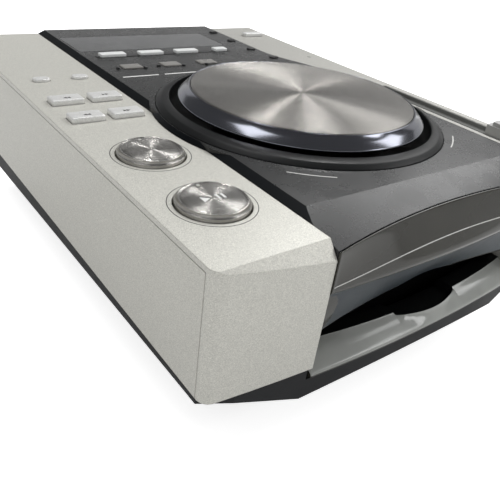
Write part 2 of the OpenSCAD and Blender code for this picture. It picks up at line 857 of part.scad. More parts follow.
module power_inlet() {
  color("black") deck() difference() {
    union() {
      translate([inlet_x - inlet_w / 2 + 0.2, body_d - panel_t - seam - inlet_deep, 0])
        translate([0, 0, inlet_z - inlet_hh / 2 + 0.2])
        cube([inlet_w - 0.4, inlet_deep + panel_t + seam + inlet_rim, inlet_hh - 0.4]);
      translate([inlet_x - inlet_w / 2 - 2, body_d + seam / 2, inlet_z - inlet_hh / 2 - 2])
        cube([inlet_w + 4, 1.6, inlet_hh + 4]);
    }
    translate([inlet_x - 8.5, body_d - inlet_deep + 3, inlet_z - 4.5]) cube([17, inlet_deep + 6, 9]);
  }
}

module power_switch() {
  color("black") deck() {
    translate([switch_x - switch_w / 2, body_d - panel_t - 6, inlet_z - switch_hh / 2])
      cube([switch_w, panel_t + 6 + 2.6, switch_hh]);
    translate([switch_x - switch_w / 2 - 1.5, body_d - panel_t - seam - 2, inlet_z - switch_hh / 2 - 1.5])
      cube([switch_w + 3, 2, switch_hh + 3]);
  }
}

/* ---- jog wheel ---- */
well_z = top_z - well_d;
hub_r = 54.9;
hub_z0 = top_z + 4;
hub_z1 = top_z + 8.2;
boss_top = well_z + 4.3;
code_r = 41;
bearing_r = 10;

module at_jog() {
  deck() translate([con_x, jog_y, 0]) children();
}

ring_top_r = ring_out_r - 2.7;
module jog_ring() {
  color("black") deck() difference() {
    union() {
      translate([con_x, jog_y, well_z - 2])
        cylinder(r = ring_in_r + 2, h = con_under - well_z + 2 + tiny, $fn = 128);
      at_ring(0) rotate_extrude($fn = 128) polygon([
        [0, con_under], [ring_out_r, con_under], [ring_out_r, con_z + 0.3],
        [ring_top_r, top_z + ring_z], [0, top_z + ring_z]
      ]);
    }
    translate([con_x, jog_y, well_z]) cylinder(r = ring_in_r, h = well_d + ring_z + 1, $fn = 128);
    translate([con_x, jog_y, well_z - 3]) cylinder(r = bearing_r + 0.2, h = 4);
  }
}

module jog_bearing() {
  color("goldenrod") at_jog() rotate_extrude() polygon([
    [shaft_r + run_fit, well_z - 16], [bearing_r, well_z - 16], [bearing_r, well_z],
    [bearing_r + 6, well_z], [bearing_r + 6, well_z + 2], [bearing_r - 1, well_z + 2],
    [bearing_r - 1, well_z + 4], [shaft_r + run_fit, well_z + 4]
  ]);
}

module jog_hub() {
  color("gray") at_jog() {
    rotate_extrude($fn = 96) polygon([
      [0, well_z - 18], [shaft_r, well_z - 18], [shaft_r, boss_top], [9, boss_top], [9, hub_z0],
      [code_r - 1, hub_z0], [code_r - 1, well_z + 5], [code_r, well_z + 5], [code_r, hub_z0],
      [hub_r, hub_z0], [hub_r, hub_z1], [0, hub_z1]
    ]);
  }
}

module jog_rim() {
  color("silver") at_jog() rotate_extrude($fn = 128) polygon([
    [hub_r, top_z + rim_z - 1.8], [rim_r - 1, top_z + rim_z - 1.8], [rim_r, top_z + rim_z - 1.2],
    [rim_r, top_z + rim_z], [face_r + 0.3, top_z + face_z - 0.2], [face_r + 0.3, hub_z1], [hub_r, hub_z1]
  ]);
}

module jog_disc() {
  color("lightgray") at_jog() rotate_extrude($fn = 128) polygon([
    [0, hub_z1], [face_r, hub_z1], [face_r, top_z + face_z - 0.3],
    [face_r - 0.5, top_z + face_z], [0, top_z + face_z]
  ]);
}

module jog_sensor() {
  color("darkgreen") at_jog() rotate([0, 0, 60]) difference() {
    translate([code_r - 6, -5, well_z]) cube([12, 10, 9.5]);
    translate([code_r - 2.2, -6, well_z + 4]) cube([3.4, 12, 8]);
  }
}

/* ---- tempo slider ---- */
slot_w = 2.6;
slot_l = slide_travel + 10;
tray_z = top_z - channel_d - 1.2;
// the knob rests at the travel's front end, as photographed
slide_rest = -30;

module slider_channel() {
  color("black") deck() translate([channel_x, channel_y, 0]) difference() {
    union() {
      translate([0, 0, tray_z])
        pad(channel_w - 2 * small_gap, channel_l - 2 * small_gap, channel_d + 1, 1);
      translate([0, 0, top_z - wall - seam - 0.8]) pad(channel_w + 2, channel_l + 2, 0.8, 1);
    }
    translate([0, 0, tray_z + 1.2]) pad(channel_w - 2.4, channel_l - 2.4, channel_d + 2, 0.6);
    translate([0, slider_y - channel_y, tray_z - 1]) pad(slot_w, slot_l, 4, slot_w / 2 - tiny);
  }
}

pot_w = 11;
pot_h = 7;
pot_z = tray_z - pot_h;
module slider_pot() {
  color("steelblue") deck() translate([channel_x, slider_y, 0]) difference() {
    translate([0, 0, pot_z]) pad(pot_w, slot_l + 12, pot_h, 0.5);
    translate([0, 0, pot_z + 2]) pad(slot_w + 0.8, slot_l + 1, pot_h, 0.5);
  }
}

stem_w = 1.8;
stem_l = 6;
module slider_knob() {
  color("silver") deck() translate([channel_x, slider_y + slide_rest, 0]) {
    translate([0, 0, top_z - channel_d + 0.3]) pad(knob_w - 0.4, knob_l, channel_d + knob_z - 2.3, 1.2);
    translate([0, 0, top_z + knob_z - 2 - tiny]) pad(knob_w - 2.4, knob_l - 5, 2, 1);
    translate([-stem_w / 2, -stem_l / 2, pot_z + 2.4])
      cube([stem_w, stem_l, top_z - channel_d + 0.3 - pot_z - 2.4 + tiny]);
  }
}

/* ---- circuit boards ---- */
board_y = 182;
module control_board() {
  color("green") deck() {
    translate([0, 0, board_z]) linear_extrude(board_t) difference() {
      union() {
        translate([3.4, 12]) square([39, board_y - 12 + 1]);
        translate([3.4, board_y]) square([body_w - 6.8, body_d - board_y - 6]);
      }
    }
    for (p = concat(
      [for (y = [play_y, cue_y]) [key_x, y]],
      [for (x = [row_left, row_right], y = [track_y, search_y]) [x, y]],
      [for (x = folder_x) [x, folder_y]],
      [for (i = [0:3]) [mode_at(i), mode_y]],
      [for (i = [0:2]) [loop_x + i * mode_pitch, loop_y]],
      [for (i = [0:3]) dot_at(i)],
      [[eject_x, eject_y]]
    )) {
      translate([p[0], p[1], board_z + board_t - tiny]) pad(6, 6, switch_h - 1, 0.5);
      translate([p[0], p[1], board_z + board_t + switch_h - 1.2]) cylinder(r = 1.7, h = 1.2, $fn = 24);
    }
  }
}

pan_floor = foot_h + pan_t;
board_low = pan_floor + post_h;
module board(x, w) {
  translate([x, main_y, board_low]) difference() {
    cube([w, main_d, board_t]);
    for (p = corners(0, 0, w, main_d, board_in)) {
      translate([p[0], p[1], -1]) cylinder(r = screw_bore_r, h = board_t + 2);
    }
  }
}

module main_board() {
  color("green") deck() {
    board(main_x, main_w);
    translate([main_x + 22, main_y + 26, board_low + board_t - tiny]) cube([24, 24, 2.2]);
    translate([main_x + 54, main_y + 18, board_low + board_t - tiny]) cube([12, 18, 2.4]);
    translate([main_x + 54, main_y + 46, board_low + board_t - tiny]) cube([14, 14, 1.8]);
    translate([main_x + 12, main_y + 8, board_low + board_t - tiny]) cube([32, 6, 7]);
  }
}

// the transformer and the heat sink, and radius and height of the two capacitors
transformer = [34, 30, 26];
heat_sink = [24, 12, 20];
capacitors = [[8, 26], [6, 18]];
module power_board() {
  color("darkgreen") deck() {
    board(power_x, power_w);
    translate([power_x, main_y, board_low + board_t - tiny]) {
      translate([30, 12, 0]) cube(transformer);
      translate([36, 54, 0]) cube(heat_sink);
      for (i = [0:1]) {
        translate([16, 20 + 36 * i, 0]) cylinder(r = capacitors[i][0], h = capacitors[i][1]);
      }
    }
  }
}

/* ---- disc drive ---- */
frame_t = 2;
frame_h = disc_z + 9 - drive_z;
drive_x1 = drive_x + drive_w;
roller_y = 30;
disc_half = 0.6;
roller_z = disc_z - disc_half - roller_r;
axle_r = 1.5;
roller_gear_r = 11;
pinion_r = 6;
motor_y = roller_y + 16;
motor_z = roller_z - 6.6;
motor_r = 8.5;
pivot_y = drive_y + drive_l - 14;
pivot_z = disc_z + 4;
arm_w = 24;
clamp_r = 13;
slot_h = 6;
damper_h = 4;
plate_z = drive_z + frame_t + damper_h;
plate_t = 1.6;
plate_w = 116;
block_l = 3;
sled_l = 14;
plate_y1 = drive_y + drive_l - frame_t - 4.5;
rod_y1 = plate_y1 - 1;
rod_y0 = rod_y1 - (2 * block_l + 0.5 + sled_l + sled_travel + 1);
sled_y = rod_y0 + block_l + 0.5;
spindle_y = rod_y0 - 10;
plate_y0 = rod_y0 - 28;
rod_z = disc_z - 9;
rod_x = 21;
screw_x = 32;
ledge_w = 21;

module across(x, y, z, r, w) {
  translate([x, y, z]) rotate([0, 90, 0]) cylinder(r = r, h = w);
}

module drive_frame() {
  color("lightsteelblue") deck() difference() {
    union() {
      for (x = [drive_x, drive_x1 - frame_t]) {
        translate([x, drive_y, drive_z]) cube([frame_t, drive_l, frame_h]);
      }
      translate([drive_x, drive_y, disc_z + 7.5]) cube([drive_w, drive_l, 1.5]);
      translate([drive_x, drive_y + drive_l - frame_t, drive_z]) cube([drive_w, frame_t, frame_h]);
      for (x = [drive_x, drive_x1 - ledge_w]) {
        translate([x, drive_y, drive_z]) cube([ledge_w, drive_l, frame_t]);
      }
      // front bars above and below the disc slot
      translate([drive_x, drive_y, disc_z + slot_h / 2]) cube([drive_w, frame_t, 9 - slot_h / 2]);
      translate([drive_x, drive_y, drive_z]) cube([drive_w, frame_t, disc_z - slot_h / 2 - drive_z]);
      // ears and pin of the clamp arm
      for (x = [con_x - arm_w / 2 - 4.4, con_x + arm_w / 2 + 0.4]) {
        translate([x, pivot_y - 3, pivot_z - 3]) cube([4, 6, disc_z + 8 - pivot_z + 3]);
      }
      across(con_x - arm_w / 2 - 1, pivot_y, pivot_z, axle_r, arm_w + 2);
    }
    translate([con_x - arm_w / 2 - 2, spindle_y - clamp_r, disc_z + 7])
      cube([arm_w + 4, pivot_y - spindle_y + clamp_r - 1, 4]);
    translate([con_x, spindle_y, disc_z + 7]) cylinder(r = clamp_r + 3, h = 4);
    across(drive_x - 1, roller_y, roller_z, axle_r + run_fit, frame_t + 2);
    across(drive_x1 - frame_t - 1, roller_y, roller_z, axle_r + run_fit, frame_t + 2);
    across(drive_x1 - frame_t - 1, motor_y, motor_z, 2.4, frame_t + 2);
    for (p = drive_posts) {
      translate([p[0], p[1], drive_z - 1]) cylinder(r = screw_bore_r + 0.1, h = frame_t + 2);
    }
  }
}

// a spur wheel of n straight-flanked teeth with tip radius r
tooth_h = 0.9;
module toothed(r, w, n) {
  step = 360 / n;
  linear_extrude(w) polygon([
    for (i = [0:n - 1], c = [[-0.36, 0], [-0.17, 1], [0.17, 1], [0.36, 0]])
      (r - tooth_h * (1 - c[1])) * [cos((i + c[0]) * step), sin((i + c[0]) * step)]
  ]);
}

module loading_roller() {
  color("dimgray") deck() {
    across(con_x - roller_l / 2, roller_y, roller_z, roller_r, roller_l);
    across(drive_x - 1, roller_y, roller_z, axle_r, drive_w + 5);
    translate([drive_x1 + 0.4, roller_y, roller_z]) rotate([0, 90, 0]) toothed(roller_gear_r, 3, 33);
  }
}

module drive_gear() {
  color("white") deck() difference() {
    translate([drive_x1 + 0.4, motor_y, motor_z]) rotate([0, 90, 0]) toothed(pinion_r, 3, 18);
    across(drive_x1, motor_y, motor_z, 1 + run_fit, 5);
  }
}

module loading_motor() {
  color("silver") deck() {
    across(drive_x1 - frame_t - 22, motor_y, motor_z, motor_r, 22);
    across(drive_x1 - frame_t - 1, motor_y, motor_z, 1, frame_t + 5);
  }
}

damper_r = 4.5;
damper_in = 5;
damper_at = [
  for (x = [con_x - plate_w / 2 + damper_in, con_x + plate_w / 2 - damper_in])
    for (y = [plate_y0 + 2 * damper_in, plate_y1 - 3 * damper_in]) [x, y]
];
module dampers() {
  color("black") deck() for (p = damper_at) {
    translate([p[0], p[1], plate_z - damper_h]) cylinder(r = damper_r, h = damper_h);
  }
}

// a cylinder at the rods' height, from y towards the front
module along(x, y, r, h) {
  translate([con_x + x, y, rod_z]) rotate([90, 0, 0]) cylinder(r = r, h = h);
}

module traverse_plate() {
  color("lightsteelblue") deck() difference() {
    union() {
      translate([con_x - plate_w / 2, plate_y0, plate_z])
        cube([plate_w, plate_y1 - plate_y0, plate_t]);
      for (x = [-rod_x, rod_x, screw_x], y = [rod_y0, rod_y1 - block_l]) {
        translate([con_x + x - 3, y, plate_z]) cube([6, block_l, rod_z - plate_z + 3]);
      }
    }
    for (x = [-rod_x, rod_x]) {
      along(x, rod_y1 + 1, axle_r, rod_y1 - rod_y0 + 2);
    }
    along(screw_x, rod_y1 + 1, axle_r + run_fit, rod_y1 - rod_y0 + 2);
  }
}

module guide_rods() {
  color("silver") deck() for (x = [-rod_x, rod_x]) {
    along(x, rod_y1, axle_r, rod_y1 - rod_y0);
  }
}

module pickup_sled() {
  color("dimgray") deck() difference() {
    union() {
      translate([con_x - rod_x - 4, sled_y, rod_z - 4]) cube([2 * rod_x + 8, sled_l, 7]);
      translate([con_x + rod_x, sled_y + 4, rod_z + axle_r + 0.35]) cube([screw_x - rod_x + 2, 6, 1.6]);
      translate([con_x, sled_y + sled_l / 2, rod_z + 2]) cylinder(r = 4.5, h = 3.4);
      translate([con_x, sled_y + sled_l / 2, rod_z + 5]) cylinder(r = 2.6, h = 1.6);
    }
    for (x = [-rod_x, rod_x]) {
      along(x, sled_y + sled_l + 1, axle_r + run_fit, sled_l + 2);
    }
  }
}

module feed_screw() {
  color("gold") deck() along(screw_x, rod_y1 + 1, axle_r, rod_y1 - rod_y0 + 2 + 5);
}

feed_motor_r = 5;
feed_motor_l = 18;
spindle_motor_r = 10;
spindle_r = 1.2;
// the can of the spindle motor, and the feed motor in front of the lead screw on its bracket
module spindle_motor() {
  color("silver") deck() {
    translate([con_x, spindle_y, plate_z + plate_t]) difference() {
      cylinder(r = spindle_motor_r, h = disc_z - 5 - plate_z - plate_t);
      translate([0, 0, 3]) cylinder(r = spindle_r + run_fit, h = 20);
    }
    difference() {
      along(screw_x, rod_y0 - 2, feed_motor_r, feed_motor_l);
      along(screw_x, rod_y0, axle_r + run_fit, feed_motor_l / 2);
    }
    translate([con_x + screw_x - 4, rod_y0 - 2 - feed_motor_l, plate_z + plate_t])
      cube([8, feed_motor_l - 2, rod_z - 3 - plate_z - plate_t]);
  }
}

module turntable() {
  color("black") deck() translate([con_x, spindle_y, 0]) {
    translate([0, 0, disc_z - 3.6]) cylinder(r = table_r, h = 3);
    translate([0, 0, disc_z - 0.7]) cylinder(r = 7.3, h = 1.5);
    translate([0, 0, plate_z + plate_t + 3.5])
      cylinder(r = spindle_r, h = disc_z - 3.5 - plate_z - plate_t - 3.5);
  }
}

module clamp_arm() {
  color("dimgray") deck() difference() {
    union() {
      translate([con_x - arm_w / 2 + 4, spindle_y, disc_z + 3]) cube([arm_w - 8, pivot_y - spindle_y, 2]);
      translate([con_x, spindle_y, disc_z + 1.3]) cylinder(r = clamp_r, h = 3.7);
      across(con_x - arm_w / 2, pivot_y, pivot_z, 3, arm_w);
    }
    across(con_x - arm_w / 2 - 1, pivot_y, pivot_z, axle_r + run_fit, arm_w + 2);
  }
}

/* ---- fasteners ---- */
module screw(length) {
  cylinder(r = 2.7, h = 1.6);
  translate([0, 0, -length]) cylinder(r = screw_bore_r - 0.05, h = length + tiny);
}

module screws() {
  color("dimgray") deck() {
    for (p = drive_posts) {
      translate([p[0], p[1], drive_z + frame_t]) screw(8);
    }
    for (p = rear_screws) {
      translate([p[0], body_d, p[1]]) rotate([-90, 0, 0]) screw(panel_t + 1.5);
    }
    for (p = board_posts) {
      translate([p[0], p[1], board_low + board_t]) screw(board_t + post_h - 0.8);
    }
  }
}

base_pan();
feet();
left_side_panel();
right_side_panel();
left_cover();
right_cover();
rear_panel();
console_panel();
console_front();
lower_lip();
jog_ring();
display_window();
lcd_module();
slider_channel();
screws();
jog_disc();
jog_rim();
jog_hub();
jog_bearing();
jog_sensor();
cue_button();
play_button();
track_back_button();
track_next_button();
search_back_button();
search_next_button();
folder_back_button();
folder_next_button();
mode_button_a();
mode_button_b();
mode_button_c();
mode_button_d();
loop_in_button();
loop_out_button();
loop_exit_button();
oval_button_a();
oval_button_b();
oval_button_c();
oval_button_d();
eject_button();
slider_knob();
slider_pot();
power_switch();
power_inlet();
jack_board();
main_board();
control_board();
power_board();
drive_frame();
loading_roller();
drive_gear();
loading_motor();
traverse_plate();
dampers();
spindle_motor();
turntable();
pickup_sled();
guide_rods();
feed_screw();
clamp_arm();
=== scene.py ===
# %% [markdown]
# A tabletop disc player, dressed for its picture. The solid pieces come from the construction
# model and stay where they are; this script gives every one of them a finish, and makes finer
# surfaces for the pieces whose soft edges and gloss the picture shows.

# %% Tools and the frame
import math

import bpy
import numpy as np
from mathutils import Matrix, Vector


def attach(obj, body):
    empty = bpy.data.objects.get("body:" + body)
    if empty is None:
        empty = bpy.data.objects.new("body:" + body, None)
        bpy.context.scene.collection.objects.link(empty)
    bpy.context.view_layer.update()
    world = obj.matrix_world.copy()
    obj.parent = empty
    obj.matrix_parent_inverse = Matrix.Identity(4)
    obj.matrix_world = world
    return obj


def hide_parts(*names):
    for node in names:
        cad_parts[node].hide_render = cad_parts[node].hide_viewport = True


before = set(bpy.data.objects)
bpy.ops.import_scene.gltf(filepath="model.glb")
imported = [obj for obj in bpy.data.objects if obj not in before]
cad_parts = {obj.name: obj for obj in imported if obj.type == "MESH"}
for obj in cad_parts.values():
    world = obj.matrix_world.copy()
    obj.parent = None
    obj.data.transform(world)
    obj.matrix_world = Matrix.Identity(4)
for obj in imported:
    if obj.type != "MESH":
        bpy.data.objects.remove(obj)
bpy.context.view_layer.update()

# %% [markdown]
# The player was measured in "deck" millimetres: x from its left side, y from its front left
# corner, z up from the table. One small function takes whole arrays of such points into the
# frame, so every number below can be held against the real thing with a ruler.

# %% Deck millimetres to frame metres
TOP_Z = 96.5                      # top of the silver blocks
CON_Z = TOP_Z + 2.0               # top of the raised console
MID_X, MID_Y = 109.0, 139.8       # middle of the player's box
CON_X, JOG_Y = 121.1, 103.8       # middle of the console, and the wheel's axis on it
SHIFT = np.array([-MID_X, -MID_Y, 0.0])


def home(points):
    """Deck millimetres to frame metres: subtract the middle of the box, divide by a thousand."""
    return (np.asarray(points, float) + SHIFT) / 1000.0


print("jog wheel's axis in the frame:", home([CON_X, JOG_Y, TOP_Z]))

# %% [markdown]
# The camera stands close to the front left corner and looks down along the console, as in the
# photograph, with the picture turned a little. Its place, the point it looks at, the turn and
# the focal length came from fitting one camera to points read off the photograph.

# %% Camera
STAND, TARGET, TURN = (-0.18934, -0.25007, 0.19049), (-0.07974, -0.12036, 0.08483), 7.72
FOCAL_PX, PICTURE_PX, SENSOR_MM = 570.958, 500, 36.0


def picture_camera(stand, target, turn, lens):
    """The view axis runs from stand to target. The right-hand axis is level, then turned about
    the view axis by turn degrees, and the up axis is square to both."""
    ahead = (Vector(target) - Vector(stand)).normalized()
    right = ahead.cross(Vector((0, 0, 1))).normalized()
    right = Matrix.Rotation(math.radians(-turn), 3, ahead) @ right
    up = right.cross(ahead)
    data = bpy.data.cameras.new("picture_camera")
    data.sensor_width, data.lens = SENSOR_MM, lens
    data.clip_start, data.clip_end = 0.01, 50.0
    camera = bpy.data.objects.new("picture_camera", data)
    bpy.context.scene.collection.objects.link(camera)
    place = Matrix((right, up, -ahead)).transposed().to_4x4()
    place.translation = Vector(stand)
    camera.matrix_world = place
    bpy.context.scene.camera = camera
    return camera


camera = picture_camera(STAND, TARGET, TURN, FOCAL_PX / PICTURE_PX * SENSOR_MM)
print("lens:", round(camera.data.lens, 2), "mm")

# %% [markdown]
# A finish is a graph of shader nodes. Written node by node it is hard to read, so a socket is
# wrapped in a small class that knows sums and products: an expression such as 1 - mask * 0.3
# then adds the Math nodes by itself. Colours go through Mix, never through Math.

# %% Sockets that can be added and multiplied
class Signal:
    """One output socket of a finish's graph."""

    def __init__(self, finish, socket):
        self.finish, self.socket = finish, socket

    def _math(self, operation, a, b):
        return self.finish.node("ShaderNodeMath", {"operation": operation}, {0: a, 1: b})

    def __add__(self, other):
        return self._math("ADD", self, other)

    def __sub__(self, other):
        return self._math("SUBTRACT", self, other)

    def __mul__(self, other):
        return self._math("MULTIPLY", self, other)

    def __truediv__(self, other):
        return self._math("DIVIDE", self, other)

    def __pow__(self, other):
        return self._math("POWER", self, other)

    def __radd__(self, other):
        return self._math("ADD", other, self)

    def __rsub__(self, other):
        return self._math("SUBTRACT", other, self)

    def __rmul__(self, other):
        return self._math("MULTIPLY", other, self)

    def __rtruediv__(self, other):
        return self._math("DIVIDE", other, self)

    def snap(self, step):
        """The value rounded down to a whole number of steps."""
        return self._math("SNAP", self, step)

    def ramp(self, low, high, start=0.0, end=1.0):
        """A straight slope from start at low to end at high, held flat outside."""
        ends = {0: self, 1: low, 2: high, 3: start, 4: end}
        return self.finish.node("ShaderNodeMapRange", {"clamp": True}, ends)


print("sockets take:", [name for name in vars(Signal) if name.startswith("__r")])

# %% [markdown]
# The finish itself is one Principled surface. Constants go straight onto its sockets, and the
# methods below grow the graph: each adds one kind of node and gives back its output. Places are
# read from Object coordinates, which are the frame's own metres, so no pattern can slide.

# %% A finish and its nodes
class Finish:
    """A material with one Principled surface, and the methods that grow its graph."""

    def __init__(self, name, **constants):
        self.material = bpy.data.materials.new(name)
        self.material.use_nodes = True
        self.tree = self.material.node_tree
        self.surface = self.tree.nodes["Principled BSDF"]
        for key, value in constants.items():
            self.surface.inputs[key.replace("_", " ")].default_value = value

    def node(self, kind, settings=None, inputs=None, out=0):
        """Any node: its settings first, then the value or the link of each named socket."""
        made = self.tree.nodes.new(kind)
        for key, value in (settings or {}).items():
            setattr(made, key, value)
        for key, value in (inputs or {}).items():
            self.feed(made.inputs[key], value)
        return Signal(self, made.outputs[out])

    def feed(self, socket, value):
        """Link a signal to the socket, or set the socket's own value."""
        if isinstance(value, Signal):
            self.tree.links.new(value.socket, socket)
        else:
            socket.default_value = value

    def set(self, **links):
        """Feed sockets of the surface, named with _ for each space."""
        for key, value in links.items():
            self.feed(self.surface.inputs[key.replace("_", " ")], value)

    def place(self):
        """The point being shaded, in the frame, in metres."""
        return self.node("ShaderNodeTexCoord", out="Object")

    def axes(self, point):
        """The three parts of a point or of a colour."""
        outputs = self.node("ShaderNodeSeparateXYZ", inputs={0: point}).socket.node.outputs
        return [Signal(self, outputs[i]) for i in range(3)]

    def noise(self, scale, detail=2.0, rough=0.5, point=None):
        """Soft noise with scale waves to the metre, over the place or over another point."""
        inputs = {"Vector": point or self.place(), "Scale": scale, "Detail": detail, "Roughness": rough}
        return self.node("ShaderNodeTexNoise", inputs=inputs)

    def cells(self, scale):
        """A pattern of cells, scale to the metre, each with a colour of its own."""
        inputs = {"Vector": self.place(), "Scale": scale}
        return self.node("ShaderNodeTexVoronoi", inputs=inputs, out="Color")

    def mix(self, share, a, b):
        """Colour a where share is 0, colour b where it is 1."""
        made = self.node("ShaderNodeMix", {"data_type": "RGBA"}, out=2)
        sockets = made.socket.node.inputs
        self.feed(sockets[0], share)
        self.feed(sockets[6], a)
        self.feed(sockets[7], b)
        return made

    def vector(self, operation, a, b=None, scale=None):
        """One step of vector arithmetic: a with b, or a with a plain number as its scale."""
        inputs = {0: a}
        if b is not None:
            inputs[1] = b
        if scale is not None:
            inputs["Scale"] = scale
        return self.node("ShaderNodeVectorMath", {"operation": operation}, inputs)

    def bump(self, height, distance, strength, normal=None):
        """The surface's direction as if height, 0 to 1, stood out by distance metres."""
        inputs = {"Height": height, "Distance": distance, "Strength": strength}
        if normal is not None:
            inputs["Normal"] = normal
        return self.node("ShaderNodeBump", inputs=inputs)

    def soft_edge(self, radius):
        """The surface's direction with its edges rounded by radius, for the moulded pieces."""
        return self.node("ShaderNodeBevel", {"samples": 6}, {"Radius": radius})


print("a finish can add:", [name for name in vars(Finish) if not name.startswith("_")])

# %% [markdown]
# Colours are written as they look on a screen, because that is how they are read off a picture.
# A shader takes linear values, so one function turns them. Few real surfaces are one flat
# colour; most finishes below run from a darker to a lighter shade of their tone.

# %% Colours
finishes = {}


def rgb(red, green, blue):
    """A colour given as it looks on a screen (0 to 255), turned to the linear values a shader
    takes: ((c + 0.055) / 1.055) to the power 2.4, or c / 12.92 near black."""
    c = np.array([red, green, blue], float) / 255.0
    linear = np.where(c > 0.04045, ((c + 0.055) / 1.055) ** 2.4, c / 12.92)
    return (*[float(v) for v in linear], 1.0)


def shade(tone, factor):
    """The tone made darker or lighter by a factor, no channel past 255."""
    return rgb(*[min(255, t * factor) for t in tone])


print("mid grey is", round(rgb(128, 128, 128)[0], 3), "for a shader")

# %% [markdown]
# Silver paint on moulded plastic: a clear coat over fine metal flakes. Each flake is about a
# quarter of a millimetre in the picture, so a cell pattern of that size shifts the colour and
# the gloss from cell to cell, and a few cells are made lighter as painted glints of the flakes.
# A fine grain roughens the direction, and a broad soft noise keeps large faces from looking
# dead flat.

# %% Silver paint
FLAKES_PER_METRE = 4200.0


def silver_paint(name, tone, metal, rough):
    """Colour from 0.86 to 1.12 of the tone, by the sum of flake, painted glint and cloud.
    Roughness from rough - 0.08 to rough + 0.1, by flake."""
    f = Finish(name, Metallic=metal, IOR=1.5)
    flake = f.axes(f.cells(FLAKES_PER_METRE))
    tint = flake[0].ramp(0.0, 1.0, -0.5, 0.5) * 0.55
    # painted glint: a few flake cells made lighter in the colour, as painted highlights
    painted_glint = flake[1].ramp(0.92, 1.0) * 0.5
    cloud = f.noise(9.0, 3.0).ramp(0.3, 0.7, -0.03, 0.03)
    light = (tint + painted_glint + cloud).ramp(-0.4, 0.6)
    f.set(
        Base_Color=f.mix(light, shade(tone, 0.86), shade(tone, 1.12)),
        Roughness=flake[2].ramp(0.0, 1.0, rough - 0.08, rough + 0.1),
        Normal=f.bump(f.noise(2600.0), 0.00004, 0.5, f.soft_edge(0.0006)),
    )
    finishes[name] = f.material


silver_paint("silver_casing_paint", (211, 210, 202), 0.28, 0.42)
silver_paint("silver_key_paint", (243, 243, 239), 0.4, 0.36)
# The casing's silver made darker for the right cover: painted shade, where the light falls off towards
# the right.
silver_paint("silver_paint_painted_shade", (184, 183, 177), 0.3, 0.45)
print("silver paints:", list(finishes))

# %% [markdown]
# Spun metal is turned on a lathe, so its face is a field of fine rings. A lamp is then seen as
# a bright wedge from the centre to the rim. The rings are too fine to model: instead each ring
# of a few thousandths of a millimetre leans the surface's direction in or out by an amount of
# its own. Many rings fall in one pixel and together they make the wedge.

# %% Spun metal
ROUND_KEYS = {"cue": (23.3, 81.9), "play": (23.3, 35.9)}
RING_PITCH, RING_LEAN = 0.000003, 0.52


def spun_metal(name, x, y, tone, rough):
    """Direction = surface direction + RING_LEAN * (2 h - 1) * outward radius, where h is a random
    number from 0 to 1 that belongs to the ring: the distance r rounded down to whole pitches."""
    f = Finish(name, Metallic=1.0)
    centre = home([x, y, 0])
    across, along, _ = f.axes(f.place())
    dx, dy = across - centre[0], along - centre[1]
    r = (dx * dx + dy * dy) ** 0.5
    ring = f.node("ShaderNodeCombineXYZ", inputs={0: r, 1: 0.0, 2: 0.0})
    chance = f.node("ShaderNodeTexWhiteNoise", {"noise_dimensions": "1D"}, {"W": r.snap(RING_PITCH)})
    swing = chance * 2.0 - 1.0
    per_radius = 1.0 / (r + 0.0002)
    outward = {0: dx * per_radius * swing, 1: dy * per_radius * swing, 2: 0.0}
    lean = f.vector("SCALE", f.node("ShaderNodeCombineXYZ", inputs=outward), scale=RING_LEAN)
    facing = f.node("ShaderNodeNewGeometry", out="Normal")
    bands = f.noise(900.0, 3.0, 0.6, ring)
    f.set(
        Base_Color=f.mix(bands.ramp(0.3, 0.7), shade(tone, 0.94), rgb(*tone)),
        Roughness=bands.ramp(0.3, 0.7, rough, rough + 0.06),
        Normal=f.vector("NORMALIZE", f.vector("ADD", facing, lean)),
    )
    finishes[name] = f.material


spun_metal("jog_face_metal", CON_X, JOG_Y, (148, 145, 140), 0.21)
for word, place in ROUND_KEYS.items():
    spun_metal(f"{word}_face_metal", *place, (178, 176, 172), 0.22)
print("spun faces:", [name for name in finishes if name.endswith("face_metal")])

# %% [markdown]
# The dark pieces differ mostly in gloss: the console is a fine semi-gloss texture, the front is
# polished and brownish, the rubber is dull. One function makes them all, with a grain in the
# surface, a slight change of tone, and soft smears of handling in the roughness.

# %% One maker for plastics, rubber, lacquer and plain metal
def moulded(
    name, tone, rough, grain_mm, depth_mm,
    spread=0.12, edge=0.0004, coat=0.0, marks=0.04, metal=0.0, gloss=0.5,
):
    """Colour from 1 - spread to 1 + spread of the tone. grain_mm is the size of the texture and
    depth_mm its height, edge is the radius of softened edges in metres, or 0 for none, and marks
    is how far the roughness strays from rough."""
    constants = {"Metallic": metal, "Specular_IOR_Level": gloss, "Coat_Weight": coat}
    f = Finish(name, IOR=1.49, Coat_Roughness=0.04, **constants)
    light = f.noise(14.0, 4.0, 0.6).ramp(0.3, 0.7)
    fine = f.noise(1000.0 / grain_mm)
    smear = f.noise(60.0, 5.0, 0.7)
    f.set(
        Base_Color=f.mix(light, shade(tone, 1 - spread), shade(tone, 1 + spread)),
        Roughness=smear.ramp(0.3, 0.75, rough - marks, rough + marks),
        Normal=f.bump(fine, depth_mm / 1000.0, 0.6, f.soft_edge(edge) if edge else None),
    )
    finishes[name] = f.material


